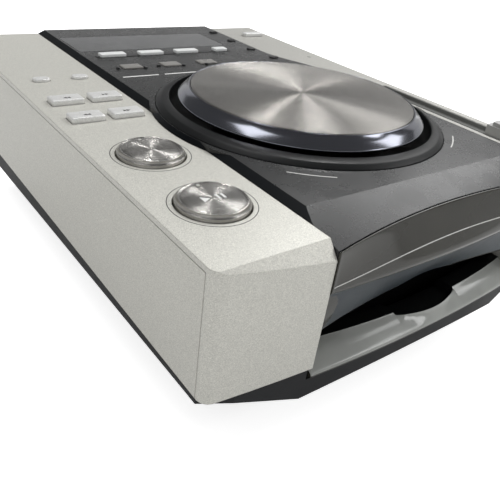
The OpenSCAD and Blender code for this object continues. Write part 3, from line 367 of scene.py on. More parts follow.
moulded("console_plastic", (37, 38, 38), 0.28, 0.35, 0.003, spread=0.06, gloss=0.46)
moulded("ring_plastic", (24, 25, 26), 0.36, 0.5, 0.004, gloss=0.14)
moulded("front_gloss", (50, 49, 43), 0.12, 1.5, 0.0015, edge=0, coat=0.15)
moulded("underside_plastic", (52, 60, 66), 0.4, 0.6, 0.006, edge=0)
# near-black for the faces inside the mouth: painted shade
moulded("mouth_painted_shade", (9, 10, 11), 0.5, 0.6, 0.006, edge=0, gloss=0.15)
# painted shade: the drive frame seen through the mouth is made near-black
moulded("drive_painted_shade", (7, 7, 8), 0.6, 0.6, 0.01, gloss=0.1)
moulded("band_plastic", (14, 17, 20), 0.4, 0.5, 0.005, gloss=0.08)
# light grey for the lip's upward faces: a painted reflection of the pale table
moulded("lip_painted_reflection", (158, 160, 156), 0.18, 1.5, 0.0015, edge=0, coat=0.15)
moulded("channel_grey", (112, 113, 110), 0.5, 0.5, 0.01, gloss=0.25)
moulded("window_lens", (34, 36, 38), 0.12, 2.0, 0.001)
moulded("strip_black", (20, 20, 22), 0.3, 0.4, 0.004)
moulded("smoke_key", (134, 132, 128), 0.3, 0.4, 0.003)
moulded("milk_white_key", (230, 232, 231), 0.3, 0.5, 0.003, spread=0.02)
moulded("black_key", (18, 18, 18), 0.45, 0.4, 0.006)
moulded("slider_satin", (176, 176, 174), 0.4, 0.3, 0.004, metal=0.3)
moulded("well_black", (14, 14, 15), 0.55, 0.4, 0.01)
moulded("rim_dark_chrome", (124, 126, 134), 0.16, 2.0, 0.0004, spread=0.05, edge=0, marks=0.02, metal=1.0)
print("outer finishes:", len(finishes))

# %% [markdown]
# The rest is the underside, the rear, the parts inside and the printed marks. They need no new
# maker: rubber is rough with a deep grain, bare metal has metal at or near 1, and ink is smooth.

# %% Finishes of the rear, the inside and the marks
moulded("pan_coat", (30, 31, 33), 0.5, 0.8, 0.03, gloss=0.2)
moulded("rear_coat", (40, 41, 43), 0.45, 0.8, 0.03)
moulded("foot_rubber", (22, 22, 23), 0.75, 0.5, 0.02)
moulded("screw_zinc", (84, 84, 86), 0.4, 0.3, 0.01, metal=1.0)
moulded("bearing_brass", (196, 158, 92), 0.3, 0.3, 0.004, metal=1.0)
moulded("board_lacquer", (26, 92, 52), 0.35, 0.5, 0.02, spread=0.3)
moulded("socket_plate", (214, 176, 98), 0.28, 0.3, 0.003, metal=1.0)
moulded("drive_zinc", (168, 170, 172), 0.38, 0.6, 0.01, spread=0.2, metal=0.9)
moulded("motor_can", (176, 176, 176), 0.3, 0.5, 0.004, metal=1.0)
moulded("roller_rubber", (26, 26, 26), 0.8, 0.4, 0.02)
moulded("gear_nylon", (226, 224, 214), 0.45, 0.5, 0.004, spread=0.04)
moulded("line_silver", (205, 205, 202), 0.35, 0.4, 0.001, spread=0.03, edge=0, metal=0.2)
moulded("line_white", (232, 232, 230), 0.5, 0.4, 0.001, spread=0.02, edge=0)
moulded("line_dark", (52, 52, 52), 0.5, 0.4, 0.001, spread=0.05, edge=0)
moulded("lamp_lens", (196, 196, 190), 0.2, 0.5, 0.002, spread=0.05, edge=0)
print("finishes:", len(finishes))

# %% [markdown]
# The solids of the construction model keep their shape and only change their finish. A table
# from finish to solids is easier to read than a line for each, and the count printed at the end
# shows that none was forgotten.

# %% Finish of every solid
NODE_FINISH = {
    "silver_casing_paint": "left_cover left_side_panel right_side_panel",
    # right cover: the casing's silver, darker as painted shade
    "silver_paint_painted_shade": "right_cover",
    "silver_key_paint": "track_back_button track_next_button search_back_button search_next_button"
    " folder_back_button folder_next_button eject_button",
    "console_plastic": "console_panel",
    "ring_plastic": "jog_ring",
    "front_gloss": "console_front lower_lip",
    "window_lens": "display_window",
    "milk_white_key": "mode_button_a mode_button_b mode_button_c mode_button_d",
    "smoke_key": "loop_in_button loop_out_button loop_exit_button",
    "black_key": "oval_button_a oval_button_b oval_button_c oval_button_d power_switch power_inlet",
    "channel_grey": "slider_channel",
    # drive frame: near-black as painted shade inside the mouth
    "drive_painted_shade": "drive_frame",
    "slider_satin": "slider_knob",
    "pan_coat": "base_pan",
    "rear_coat": "rear_panel",
    "foot_rubber": "feet dampers",
    "screw_zinc": "screws",
    "well_black": "jog_hub pickup_sled clamp_arm jog_sensor turntable",
    "bearing_brass": "jog_bearing",
    "board_lacquer": "main_board control_board power_board lcd_module",
    "socket_plate": "jack_board",
    "drive_zinc": "traverse_plate guide_rods feed_screw",
    "motor_can": "loading_motor spindle_motor",
    "roller_rubber": "loading_roller",
    "gear_nylon": "drive_gear slider_pot",
    "cue_face_metal": "cue_button",
    "play_face_metal": "play_button",
    "jog_face_metal": "jog_disc",
    "rim_dark_chrome": "jog_rim",
}
for name, nodes in NODE_FINISH.items():
    for node in nodes.split():
        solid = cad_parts[node]
        solid.data.materials.clear()
        solid.data.materials.append(finishes[name])
dressed = sum(len(nodes.split()) for nodes in NODE_FINISH.values())
print("dressed", dressed, "of", len(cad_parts), "nodes")

# %% [markdown]
# One moulding can carry two finishes, such as the console's dull band on its sloping left side.
# Blender keeps a finish number for each face. The faces are picked by the way they look and by
# their place, for all of them at once, and get the number of the second finish.

# %% A second finish on some faces
def second_finish(made, material, choose):
    """Give the faces for which choose(normals, centres) holds a second finish. The centres come
    back from frame metres to deck millimetres: times a thousand, minus the shift."""
    made.data.materials.append(finishes[material])
    n = len(made.data.polygons)
    normals, centres, index = np.empty(n * 3), np.empty(n * 3), np.empty(n, np.int32)
    made.data.polygons.foreach_get("normal", normals)
    made.data.polygons.foreach_get("center", centres)
    made.data.polygons.foreach_get("material_index", index)
    picked = choose(normals.reshape(-1, 3), centres.reshape(-1, 3) * 1000 - SHIFT)
    index[picked] = len(made.data.materials) - 1
    made.data.polygons.foreach_set("material_index", index)
    return int(picked.sum())


BAND_X = 52.0
on_band = second_finish(
    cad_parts["console_panel"], "band_plastic",
    lambda n, c: (n[:, 0] < -0.2) & (n[:, 2] > 0.3) & (c[:, 0] < BAND_X),
)
print("band faces:", on_band)

# %% [markdown]
# Every new surface is a grid of points whose rows are closed outlines. Rows and columns become
# quads by index arithmetic on whole arrays, which is quick and gives even, regular faces. The
# two ends are capped with one flat face each, whose edge stays crisp, unless the last row meets
# the first.

# %% Grids to meshes
def surface(name, points, material, body, capped=True, sharp=False, stands_for=(), slot=None):
    """points has the shape (rows, columns, 3) in deck millimetres. Quad (i, j) joins the points
    (i, j), (i, j+1), (i+1, j+1), (i+1, j), and the last column goes on to the first."""
    rows, columns = points.shape[:2]
    index = np.arange(rows * columns).reshape(rows, columns)
    right = np.roll(index, -1, axis=1)
    quads = np.stack([index[:-1], right[:-1], right[1:], index[1:]], axis=-1)
    faces = quads.reshape(-1, 4).tolist()
    if capped:
        faces += [index[0, ::-1].tolist(), index[-1].tolist()]
    mesh = bpy.data.meshes.new(name)
    mesh.from_pydata(home(points).reshape(-1, 3).tolist(), [], faces)
    mesh.validate()
    smooth = np.full(len(mesh.polygons), not sharp)
    if capped:
        smooth[-2:] = False
    mesh.polygons.foreach_set("use_smooth", smooth)
    mesh.update()
    made = bpy.data.objects.new(name, mesh)
    bpy.context.scene.collection.objects.link(made)
    mesh.materials.append(finishes[material])
    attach(made, body)
    if stands_for:
        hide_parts(*stands_for)
    return made


def soften(outline, rounds, share):
    """Corner cutting on arrays: each side (a, b) gives the points a + share (b - a) and
    b - share (b - a), so corners turn round while long sides stay straight."""
    for _ in range(rounds):
        after = np.roll(outline, -1, axis=-2)
        near, far = outline + share * (after - outline), after - share * (after - outline)
        pair = np.stack([near, far], axis=-2)
        outline = pair.reshape(*outline.shape[:-2], -1, outline.shape[-1])
    return outline


square = np.array([[0, 0], [1, 0], [1, 1], [0, 1]])
print("a square softened once has", len(soften(square, 1, 0.25)), "corners")

# %% [markdown]
# Much of the player is round, as if made on a lathe: the wheel, the round keys, lamps and nubs.
# Such a piece is one profile turned about an upright axis. Arcs give the profile its soft edges.

# %% Turned shapes
POLE = 0.01                       # radius at which a profile ends on its axis


def turned(name, x, y, profile, material, body, steps=256, **more):
    """A profile of (radius, height) pairs turned about the upright axis at (x, y):
    point = (x + r cos a, y + r sin a, z). A profile that doesn't end where it starts is capped."""
    profile = np.asarray(profile, float)
    a = np.linspace(0, 2 * np.pi, steps, endpoint=False)[None, :]
    r, z = profile[:, 0][:, None], profile[:, 1][:, None]
    points = np.stack([x + r * np.cos(a), y + r * np.sin(a), z + 0 * a], axis=-1)
    capped = not np.allclose(profile[0], profile[-1])
    return surface(name, points, material, body, capped, **more)


def arc(centre, radius, start, end, steps=8):
    """Points on an arc: centre + radius (cos t, sin t), t from start to end in degrees."""
    t = np.radians(np.linspace(start, end, steps))
    return [(centre[0] + radius * math.cos(v), centre[1] + radius * math.sin(v)) for v in t]


print("a quarter turn of radius 1 ends at", np.round(arc((0, 0), 1, 0, 90)[-1], 3))

# %% [markdown]
# The glossy front hangs below the facet like a curtain and turns under to the upper lip of the
# mouth. It is the same outline as the solid's, worked out for 181 places along the width at
# once, with its corners cut round. The solid's flat strips would show in so glossy a face.

# %% Curves of the front
SEAM = 0.3                        # gap between neighbouring mouldings
FRONT_X = (46.4 + SEAM, 190.0 - SEAM)
BOW_IN, BOW_MID_Y = 6.9, -8.2     # how far the bow swells, and its foremost y
BOW_R = (MID_X**2 + BOW_IN**2) / (2 * BOW_IN)
SEAM_Y, SEAM_R = 1.75, 397.0
FACET, CREASE = 0.214, 17.5       # slope of the facet, and the y of its upper edge
FACE_LOW, LIP_Z = TOP_Z - 20.0, TOP_Z - 43.0
NOTCH_W = 42.0                    # width of the finger notch in the lower lip
ARCH_W, ARCH_H = 0.9 * NOTCH_W, 1.6


def bow_y(x):
    """The bowed front: a circle of radius BOW_R that is foremost in the middle of the width."""
    return BOW_R + BOW_MID_Y - np.sqrt(BOW_R**2 - (x - MID_X) ** 2)


def hollow_y(x):
    """The hollow seam under the facet: a circle of radius SEAM_R bulging backwards."""
    return SEAM_Y - SEAM_R + np.sqrt(SEAM_R**2 - (x - CON_X) ** 2)


def facet_z(y):
    """The facet falls by FACET for every millimetre in front of its crease."""
    return CON_Z - FACET * (CREASE - y)


def arch_z(x):
    """The upper lip's rise over the notch: ARCH_H times a cosine, zero outside ARCH_W."""
    u = (x - CON_X) / (ARCH_W / 2)
    return ARCH_H * np.where(np.abs(u) < 1, np.cos(np.pi / 2 * np.clip(u, -1, 1)), 0.0)


def section(x, pairs):
    """Points (len(x), pairs, 3) from (y, z) pairs, each a number or an array over x."""
    return np.stack([np.stack(np.broadcast_arrays(x, y, z), axis=-1) for y, z in pairs], axis=1)


print("bow radius:", round(BOW_R, 1), "mm, foremost at y", round(bow_y(MID_X), 1))

# %% [markdown]
# The outline starts at the seam under the facet, goes down the bowed face to its lower edge,
# turns under and back to the upper lip, and closes behind. Two more finishes part it: the
# underside is a bluish plastic, and whatever lies inside the mouth is painted near-black as
# painted shade.

# %% Glossy front
def front_outline(x):
    """The outline of the front in (y, z) at each x, as an array (len(x), points, 3)."""
    seam_y = hollow_y(x) - SEAM
    seam_z = facet_z(seam_y) - 0.1
    top_y = seam_y - 0.8
    low_y = np.minimum(bow_y(x), top_y)
    half_y, half_z = top_y + 0.55 * (low_y - top_y), seam_z + 0.5 * (FACE_LOW - seam_z)
    lip_y, lip_z = hollow_y(x) + 4.0, LIP_Z + arch_z(x)
    back_z = seam_z - 2.5 - SEAM
    return section(x, [
        (seam_y, seam_z), (top_y, seam_z - 0.1), (half_y, half_z), (low_y, FACE_LOW + 1.4),
        (low_y + 0.5, FACE_LOW - 0.6), (low_y + 1.6, FACE_LOW - 2.4), (lip_y - 1.4, lip_z + 2.4),
        (lip_y - 0.6, lip_z + 0.5), (lip_y + 0.4, lip_z), (lip_y + 3, lip_z + 0.6),
        (lip_y + 2.6, lip_z + 3), (low_y + 4.6, FACE_LOW - 1),
        (np.maximum(half_y, seam_y) + 2.4, half_z), (seam_y + 2.4, back_z - 0.4), (seam_y, back_z),
    ])


across = np.linspace(*FRONT_X, 181)
front = surface(
    "front_skin", soften(front_outline(across), 3, 0.2), "front_gloss", "casing",
    stands_for=["console_front"], slot="front_gloss",
)
under = second_finish(
    front, "underside_plastic",
    lambda n, c: (n[:, 2] < -0.2) & (c[:, 2] < FACE_LOW - 1) & (c[:, 2] > LIP_Z + 1.5),
)
# faces turned back or low inside the mouth: near-black as painted shade
inner = second_finish(front, "mouth_painted_shade", lambda n, c: (n[:, 1] > 0.2) | (c[:, 2] < LIP_Z + 1.0))
print("front skin:", len(front.data.polygons), "faces, underside", under, "inner", inner)

# %% [markdown]
# A hair-thin light line is drawn along the glossy face. It follows the face at a height that
# sinks a little towards both ends: z = LINE_Z - 1.8 ((x - middle) / 45)^2.

# %% Light line on the front
LINE_Z = TOP_Z - 12.9
LINE_OUT, LINE_UP = 0.1, 0.22     # half its thickness and half its height

across = np.linspace(FRONT_X[0] + 1, FRONT_X[1] - 1, 121)
line_z = LINE_Z - 1.8 * ((across - CON_X) / 45) ** 2
upper, lower = front_outline(across)[:, 2], front_outline(across)[:, 3]
share = (line_z - upper[:, 2]) / (lower[:, 2] - upper[:, 2])
line_y = upper[:, 1] + share * (lower[:, 1] - upper[:, 1])
line = section(across, [
    (line_y + LINE_OUT, line_z + LINE_UP), (line_y - LINE_OUT, line_z + LINE_UP),
    (line_y - LINE_OUT, line_z - LINE_UP), (line_y + LINE_OUT, line_z - LINE_UP),
])
surface("front_line", line, "line_silver", "casing", sharp=True)
print("line laid from x", round(across[0], 1), "to", round(across[-1], 1))

# %% [markdown]
# The lower lip is a polished shelf that slopes to the front; its upward faces get a light grey
# as a painted reflection of the pale table. In the middle a finger notch is scooped out of it,
# so its inner edge moves forward there and the floor behind it drops. What lies behind the
# inner edge is inside the mouth and painted near-black as painted shade.

# %% Lower lip
SHELF_R, SHELF_Y, LOWER_Z = 390, 0.8, TOP_Z - 53.5
NOTCH_D, NOTCH_DROP = 5.0, 3.4
NOTCH_R = (NOTCH_W**2 / 4 + NOTCH_D**2) / (2 * NOTCH_D)


def lip_edges(x):
    """The shelf's inner edge, a circle of radius SHELF_R bulging forward, and the same edge with
    the notch bitten out: a circle of radius NOTCH_R through its corners, deepest in the middle."""
    u = np.abs(x - CON_X)
    shelf_y = SHELF_Y + SHELF_R - np.sqrt(SHELF_R**2 - u**2)
    bite_y = SHELF_Y - NOTCH_D + NOTCH_R - np.sqrt(NOTCH_R**2 - np.minimum(u, NOTCH_W / 2) ** 2)
    return shelf_y, np.where(u < NOTCH_W / 2, np.minimum(shelf_y, bite_y), shelf_y)


def lip_outline(x):
    """The outline of the lip in (y, z) at each x. In the notch the shelf drops by NOTCH_DROP."""
    shelf_y, edge_y = lip_edges(x)
    nose_y = bow_y(x)
    half_y = np.minimum((shelf_y + nose_y + 0.9) / 2, edge_y - 0.6)
    drop = NOTCH_DROP * np.clip((NOTCH_W / 2 - np.abs(x - CON_X)) / 0.6, 0, 1)
    low = LOWER_Z - 6
    return section(x, [
        (shelf_y + 9, LOWER_Z - 0.4 - drop), (shelf_y + 1.2, LOWER_Z - drop),
        (edge_y + 0.02, LOWER_Z - 0.05 - drop), (edge_y, LOWER_Z - 0.3), (half_y, LOWER_Z - 2.0),
        (nose_y + 0.9, low + 1), (nose_y + 0.2, low), (nose_y + 0.2, low - 0.8),
        (nose_y + 1, low - 1.6), (shelf_y + 9, low - 1.6),
    ])


notch_x = CON_X + NOTCH_W / 2 * np.array([-1.03, -1.005, -1, -0.985, 0.985, 1, 1.005, 1.03])
across = np.unique(np.concatenate([np.linspace(*FRONT_X, 161), notch_x]))
lip = surface(
    "lower_lip_skin", soften(lip_outline(across), 3, 0.2), "front_gloss", "casing",
    stands_for=["lower_lip"], slot="front_gloss",
)
# upward faces of the lip: light grey as painted reflection
slope = second_finish(lip, "lip_painted_reflection", lambda n, c: n[:, 2] > 0.25)
# faces behind the lip's inner edge: near-black as painted shade inside the mouth
mouth = second_finish(lip, "mouth_painted_shade", lambda n, c: c[:, 1] > lip_edges(c[:, 0])[1] + 0.1)
print("lip skin:", len(lip.data.polygons), "faces, upward", slope, "inside the mouth", mouth)

# %% [markdown]
# The jog wheel is a spun face with a rounded edge, and under it a tapered side of smoked chrome
# that mirrors the room. Each is one turned profile, so that the chrome's reflections run round
# it without a break.

# %% Jog wheel
FACE_R, FACE_Z, UNDER_Z = 57.15, TOP_Z + 10.2, TOP_Z + 8.3
SIDE_IN, SIDE_Z = 55, TOP_Z + 5.2

face = [
    (POLE, UNDER_Z), (FACE_R, UNDER_Z), *arc((FACE_R - 0.4, FACE_Z - 0.4), 0.4, 0, 90),
    (30, FACE_Z), (POLE, FACE_Z),
]
side = [
    (SIDE_IN, SIDE_Z - 1.8), (62.4, SIDE_Z - 1.8), (63.2, SIDE_Z - 1.3),
    *arc((62.6, SIDE_Z - 0.7), 0.8, -20, 50, 6), (60.6, SIDE_Z + 2.4), (58.6, SIDE_Z + 3.95),
    *arc((57.9, FACE_Z - 0.7), 0.5, 40, 90, 5), (57.5, FACE_Z - 0.25), (57.5, UNDER_Z),
    (SIDE_IN, UNDER_Z), (SIDE_IN, SIDE_Z - 1.8),
]
turned(
    "jog_face", CON_X, JOG_Y, face, "jog_face_metal", "jog_wheel",
    stands_for=["jog_disc"], slot="spun_metal",
)
turned(
    "jog_side", CON_X, JOG_Y, side, "rim_dark_chrome", "jog_wheel",
    stands_for=["jog_rim"], slot="dark_chrome",
)
print("jog wheel turned, profiles of", len(face), "and", len(side), "points")

# %% [markdown]
# Round the wheel stands a raised ring with a soft shoulder, and inside it the well drops away.
# The ring isn't quite on the wheel's axis. So its radii differ with the direction, and each row
# of the grid below is a radius and a height that may be numbers or arrays round the axis.

# %% Raised ring
RING_Z, RING_R, CREST_R, RING_SHIFT = TOP_Z + 4.0, 73.2, 70.5, (-2.8, -3.0)
BORE_R, WELL_R, SHELL_R, INNER_R = 10.2, 67.5, 69.5, 68.3
FLOOR_Z, WELL_Z = TOP_Z - 10, TOP_Z - 8


def ring_radius(a, radius):
    """Distance from the wheel's axis, in the direction a, to a circle about the shifted centre:
    s . u + sqrt(radius^2 - (s x u)^2), with s the shift and u the direction."""
    along = RING_SHIFT[0] * np.cos(a) + RING_SHIFT[1] * np.sin(a)
    aside = RING_SHIFT[0] * np.sin(a) - RING_SHIFT[1] * np.cos(a)
    return along + np.sqrt(radius**2 - aside**2)


a = np.linspace(0, 2 * np.pi, 320, endpoint=False)
outer, crest = ring_radius(a, RING_R), ring_radius(a, CREST_R)
ridge = np.maximum(crest, 69.0)
fall = (RING_Z - CON_Z - 0.3) / (RING_R - CREST_R)


def on_ring(r):
    """Height of the ring's top at distance r: level, then falling on the outer cone."""
    return RING_Z - fall * np.maximum(0, r - crest)


rows = [(BORE_R, FLOOR_Z), (SHELL_R, FLOOR_Z), (SHELL_R, TOP_Z - 0.5), (outer, TOP_Z - 0.5)]
rows += [(outer, CON_Z + 0.1)]
for t in (0.4, 0.8, 1.2):
    rows += [(outer - 0.5 * (1 - math.cos(t)), CON_Z + 0.1 + 0.4 * math.sin(t))]
rows += [(ridge + 0.3, on_ring(ridge + 0.3)), (ridge - 0.4, on_ring(ridge - 0.4) - 0.02)]
for t in np.radians([90, 110, 130, 150, 180]):
    rows += [(INNER_R + 0.8 * math.cos(t), on_ring(INNER_R) - 0.8 + 0.8 * math.sin(t))]
rows += [(WELL_R, WELL_Z), (BORE_R, WELL_Z), (BORE_R, FLOOR_Z)]
ring = np.array([
    np.stack(np.broadcast_arrays(CON_X + r * np.cos(a), JOG_Y + r * np.sin(a), z), axis=-1)
    for r, z in rows
])
surface(
    "jog_ring_skin", ring, "ring_plastic", "casing",
    capped=False, stands_for=["jog_ring"], slot="console_grey",
)
print("ring turned, crest from", round(crest.min(), 1), "to", round(crest.max(), 1), "mm")

# %% [markdown]
# A key is a rounded outline drawn up through its hole, with a small radius at the top edge and
# a slightly domed face. The outline is a rectangle with round corners; the surface shrinks it
# inwards ring by ring towards the middle.

# %% A key cap
def rounded(w, d, r, steps=8):
    """Outline of a w by d rectangle with corner radius r, as (points, 2)."""
    out = []
    for sx, sy, start in ((1, 1, 0), (-1, 1, 90), (-1, -1, 180), (1, -1, 270)):
        out += arc((sx * (w / 2 - r), sy * (d / 2 - r)), r, start, start + 90, steps)
    return np.array(out)


def key_cap(names, place, size, heights, finish, slot, fillet=0.5, dome=0.15):
    """names are those of the cap, its body and the solid it stands for; size is width, depth and
    corner radius; heights are foot and top. Rings: the outline at the foot and under the fillet,
    then inset by fillet (1 - cos t) at height fillet sin t, then scaled to a low dome."""
    (name, body, node), (w, d, r), (low, high) = names, size, heights
    outline = rounded(w, d, r)
    rings = [(0.0, low), (0.0, high - fillet)]
    for t in np.radians([22, 45, 67, 90]):
        rings += [(fillet * (1 - math.cos(t)), high - fillet + fillet * math.sin(t))]
    points = []
    for inset, z in rings:
        shrink = np.array([(w / 2 - inset) / (w / 2), (d / 2 - inset) / (d / 2)])
        points.append(np.column_stack([outline * shrink, np.full(len(outline), z)]))
    top = points[-1]
    for share in (0.75, 0.5, 0.25, 0.002):
        points.append(np.column_stack([top[:, :2] * share, top[:, 2] + dome * (1 - share**2)]))
    points = np.array(points) + np.array([*place, 0])
    return surface(name, points, finish, body, stands_for=[node], slot=slot)


print("outline of a key:", len(rounded(15.4, 8.4, 0.8)), "points")

# %% [markdown]
# The keys stand in rows, so their places are a first place and a pitch, or two columns. Silver
# keys stand on the left block and the right rail; white, smoke and black ones on the console.

# %% Keys in rows
WAYS = ("back", "next")
ROW_X, FOLDER_X = (14.4, 33.8), (14.8, 35.2)
ROW_Y = {"track": 150.4, "search": 126.6}
FOLDER_Y, MODE_Y, LOOP_Y, OVAL_Y = 185, 215.2, 192, 262
KEY_PITCH, OVAL_PITCH = 25.3, 24
SILVER_FOOT, SILVER_TOP, DARK_FOOT = TOP_Z - 3.6, TOP_Z + 2.45, TOP_Z - 2


def silver_key(stem, place, size, top=SILVER_TOP, **more):
    """A key of silver paint: its cap, body and solid are named from one stem."""
    names = (f"{stem}_cap", f"{stem}_key", f"{stem}_button")
    return key_cap(names, place, size, (SILVER_FOOT, top), "silver_key_paint", "silver_keys", **more)


for way, x in zip(WAYS, ROW_X):
    for row, y in ROW_Y.items():
        silver_key(f"{row}_{way}", (x, y), (15.4, 8.4, 0.8))
for way, x in zip(WAYS, FOLDER_X):
    silver_key(f"folder_{way}", (x, FOLDER_Y), (8.6, 5.6, 2.75), TOP_Z + 1.4, fillet=0.4, dome=0.1)
for i, letter in enumerate("abcd"):
    x, width = (67.7 + KEY_PITCH * i, 16) if letter != "d" else (67.7 + KEY_PITCH * i + 0.7, 9.4)
    names = (f"mode_cap_{letter}", f"mode_key_{letter}", f"mode_button_{letter}")
    key_cap(names, (x, MODE_Y), (width, 5.4, 0.5), (DARK_FOOT, CON_Z + 1.8),
            "milk_white_key", "white_keys", 0.4, 0.1)
for i, word in enumerate(("in", "out", "exit")):
    names = (f"loop_cap_{word}", f"loop_key_{word}", f"loop_{word}_button")
    key_cap(names, (68.7 + KEY_PITCH * i, LOOP_Y), (12, 7.5, 0.5), (DARK_FOOT, CON_Z + 0.55),
            "smoke_key", "smoke_keys", 0.3, 0.05)
for i, letter in enumerate("abcd"):
    place = (170, OVAL_Y - OVAL_PITCH * i) if letter != "d" else (173, LOOP_Y)
    names = (f"oval_cap_{letter}", f"oval_key_{letter}", f"oval_button_{letter}")
    key_cap(names, place, (6.4, 4.0, 1.95), (DARK_FOOT, CON_Z + 0.8),
            "black_key", "black_keys", 0.4, 0.1)
silver_key("eject", (203, 257), (17, 5.4, 0.8))

# %% [markdown]
# Cue and play are turned metal: an upright wall in its black hole, a bright bevel, a shallow
# groove, then the spun face, which dips a little towards the middle.

# %% Round keys
ROUND_Z, ROUND_FOOT, ROUND_R = TOP_Z + 2.5, TOP_Z - 3.5, 13.9

round_profile = [
    (POLE, ROUND_FOOT), (ROUND_R + 1, ROUND_FOOT), (ROUND_R + 1, ROUND_FOOT + 1),
    (ROUND_R, ROUND_FOOT + 1), (ROUND_R, ROUND_Z - 1.6), *arc((13.5, ROUND_Z - 1.5), 0.4, 0, 40, 4),
    (12.75, ROUND_Z - 0.25), *arc((12.5, ROUND_Z - 0.5), 0.45, 45, 90, 4), (11.9, ROUND_Z - 0.1),
    (11.7, ROUND_Z - 0.3), (11.5, ROUND_Z - 0.12), (8, ROUND_Z - 0.16), (POLE, ROUND_Z - 0.2),
]
for word, place in ROUND_KEYS.items():
    turned(
        f"{word}_cap", *place, round_profile, f"{word}_face_metal", f"{word}_key", 192,
        stands_for=[f"{word}_button"], slot="spun_metal",
    )
print("round keys turned:", list(ROUND_KEYS))

# %% [markdown]
# Printed marks are a few hundredths of a millimetre of ink. They are flat outlines with a
# little thickness, laid on the surface that carries them.

# %% Flat marks
def plate(name, outline, z, material, body, thick=0.06):
    """A flat outline of (x, y) points given a thickness: two rings and two end caps. Twice its
    area, the sum of x y' - y x' over its sides, is below zero when it runs clockwise; it is then
    turned round, so that its faces point outwards."""
    outline = np.asarray(outline, float)
    after = np.roll(outline, -1, axis=0)
    if np.sum(outline[:, 0] * after[:, 1] - outline[:, 1] * after[:, 0]) < 0:
        outline = outline[::-1]
    levels = (z - 0.02, z + thick)
    rings = [np.column_stack([outline, np.full(len(outline), level)]) for level in levels]
    return surface(name, np.array(rings), material, body, sharp=True)


def band(centre, radius, width, start, end, steps=48):
    """Outline of a strip bent round a centre: the outer arc forward, the inner arc back."""
    there = arc(centre, radius + width / 2, start, end, steps)
    return there + arc(centre, radius - width / 2, end, start, steps)


def strip(a, b, width):
    """Outline of a straight strip from a to b: the ends moved sideways by half the width."""
    a, b = np.array(a, float), np.array(b, float)
    side = np.array([a[1] - b[1], b[0] - a[0]]) / np.linalg.norm(b - a) * width / 2
    return np.array([a + side, a - side, b - side, b + side])


print("a bent strip has", len(band((0, 0), 84, 0.6, 226, 240)), "points")

# %% [markdown]
# The marks are the plain signs of any such player: play and pause, skip triangles, and a bracket
# under the keys that belong together. Each is a flat outline of a few corners. Those on a key
# ride on it, so that they go down with it when it is pressed.

# %% Marks on keys and console
MARK_Z, BRACKET_Y = ROUND_Z - 0.15, 174.4
play_x, play_y = ROUND_KEYS["play"]
for i, (start, end) in enumerate(((55.2, 76.8), (80.6, 101.2))):
    bracket = strip((start, BRACKET_Y), (end, BRACKET_Y), 1.3)
    plate(f"loop_bracket_{i}", bracket, CON_Z, "line_white", "casing")
triangle = np.array([(-4.6, -1.9), (-1.4, 0), (-4.6, 1.9)]) + [play_x, play_y]
plate("play_mark", triangle, MARK_Z, "line_white", "play_key")
for i in range(2):
    x = play_x + 1.9 + 2.2 * i
    bar = strip((x, play_y - 1.7), (x, play_y + 1.7), 1.0)
    plate(f"pause_mark_{i}", bar, MARK_Z, "line_white", "play_key")
for row, y in ROW_Y.items():
    for way, x, sense in (("back", ROW_X[0], -1), ("next", ROW_X[1], 1)):
        for i in range(2):
            middle = [x + sense * (1.7 * i - 0.9), y - 1.2]
            tip = np.array([(0.9 * sense, 0), (-0.9 * sense, 0.9), (-0.9 * sense, -0.9)]) + middle
            plate(f"{row}_{way}_mark_{i}", tip, TOP_Z + 2.57, "line_dark", f"{row}_{way}_key", 0.05)
print("flat marks laid on keys and console")

# %% [markdown]
# The last small pieces are mostly round. A dark ring is printed round each round key, a small
# lamp sits in its face, and low nubs stand beside the loop keys: each is a short profile turned
# like the wheel. The arc for each sense of turning is a bent strip, laid flat like the marks.

# %% Rings, lamps, nubs and arcs
RING_MARK = (16.15, 16.45)
low, high = TOP_Z - 0.05, TOP_Z + 0.03
ring_mark = [(RING_MARK[0], low), (RING_MARK[1], low), (RING_MARK[1], high), (RING_MARK[0], high)]
lens = [(0.8, ROUND_Z - 0.4), (0.8, ROUND_Z - 0.02), (0.5, ROUND_Z + 0.05), (POLE, ROUND_Z + 0.07)]
nub = [(1.3, CON_Z - 0.2), (1.3, CON_Z + 0.5), (1.0, CON_Z + 0.75), (POLE, CON_Z + 0.8)]
pip = [(1.5, TOP_Z - 0.3), (1.5, TOP_Z + 0.2), (1.0, TOP_Z + 0.5), (POLE, TOP_Z + 0.6)]
NUB_PLACES = ((59.9, 190.2), (75.8, 188.6), (85.2, 190.0), (101.0, 188.4), (116.8, 187.2))

for word, (x, y) in ROUND_KEYS.items():
    turned(f"{word}_ring_mark", x, y, ring_mark + ring_mark[:1], "line_dark", "casing", 128)
    turned(f"{word}_lamp", x, y + 10.2, lens, "lamp_lens", f"{word}_key", 24)
for i, (x, y) in enumerate(NUB_PLACES):
    turned(f"loop_nub_{i}", x, y, nub, "strip_black", "casing", 32)
plate("mode_strip", rounded(94.0, 5.4, 0.8) + [104.6, MODE_Y], CON_Z, "strip_black", "casing", 0.2)
turned("standby_lamp", 208, 195, pip, "lamp_lens", "casing", 32)
jog = (CON_X, JOG_Y)
plate("reverse_arc", band(jog, 84, 0.6, 226, 240), CON_Z, "line_silver", "casing")
plate("forward_arc", band(jog, 78.6, 0.6, 298, 311), CON_Z, "line_silver", "casing")

# %% [markdown]
# Studio: a plain pale floor, a round pale wall far behind it, an even sky and seven lamps. The
# camera sees floor, wall and sky as white paper. The player's own mirrors see the wall as a
# bright horizon under a darker sky, which is what gives gloss and chrome their light edges.

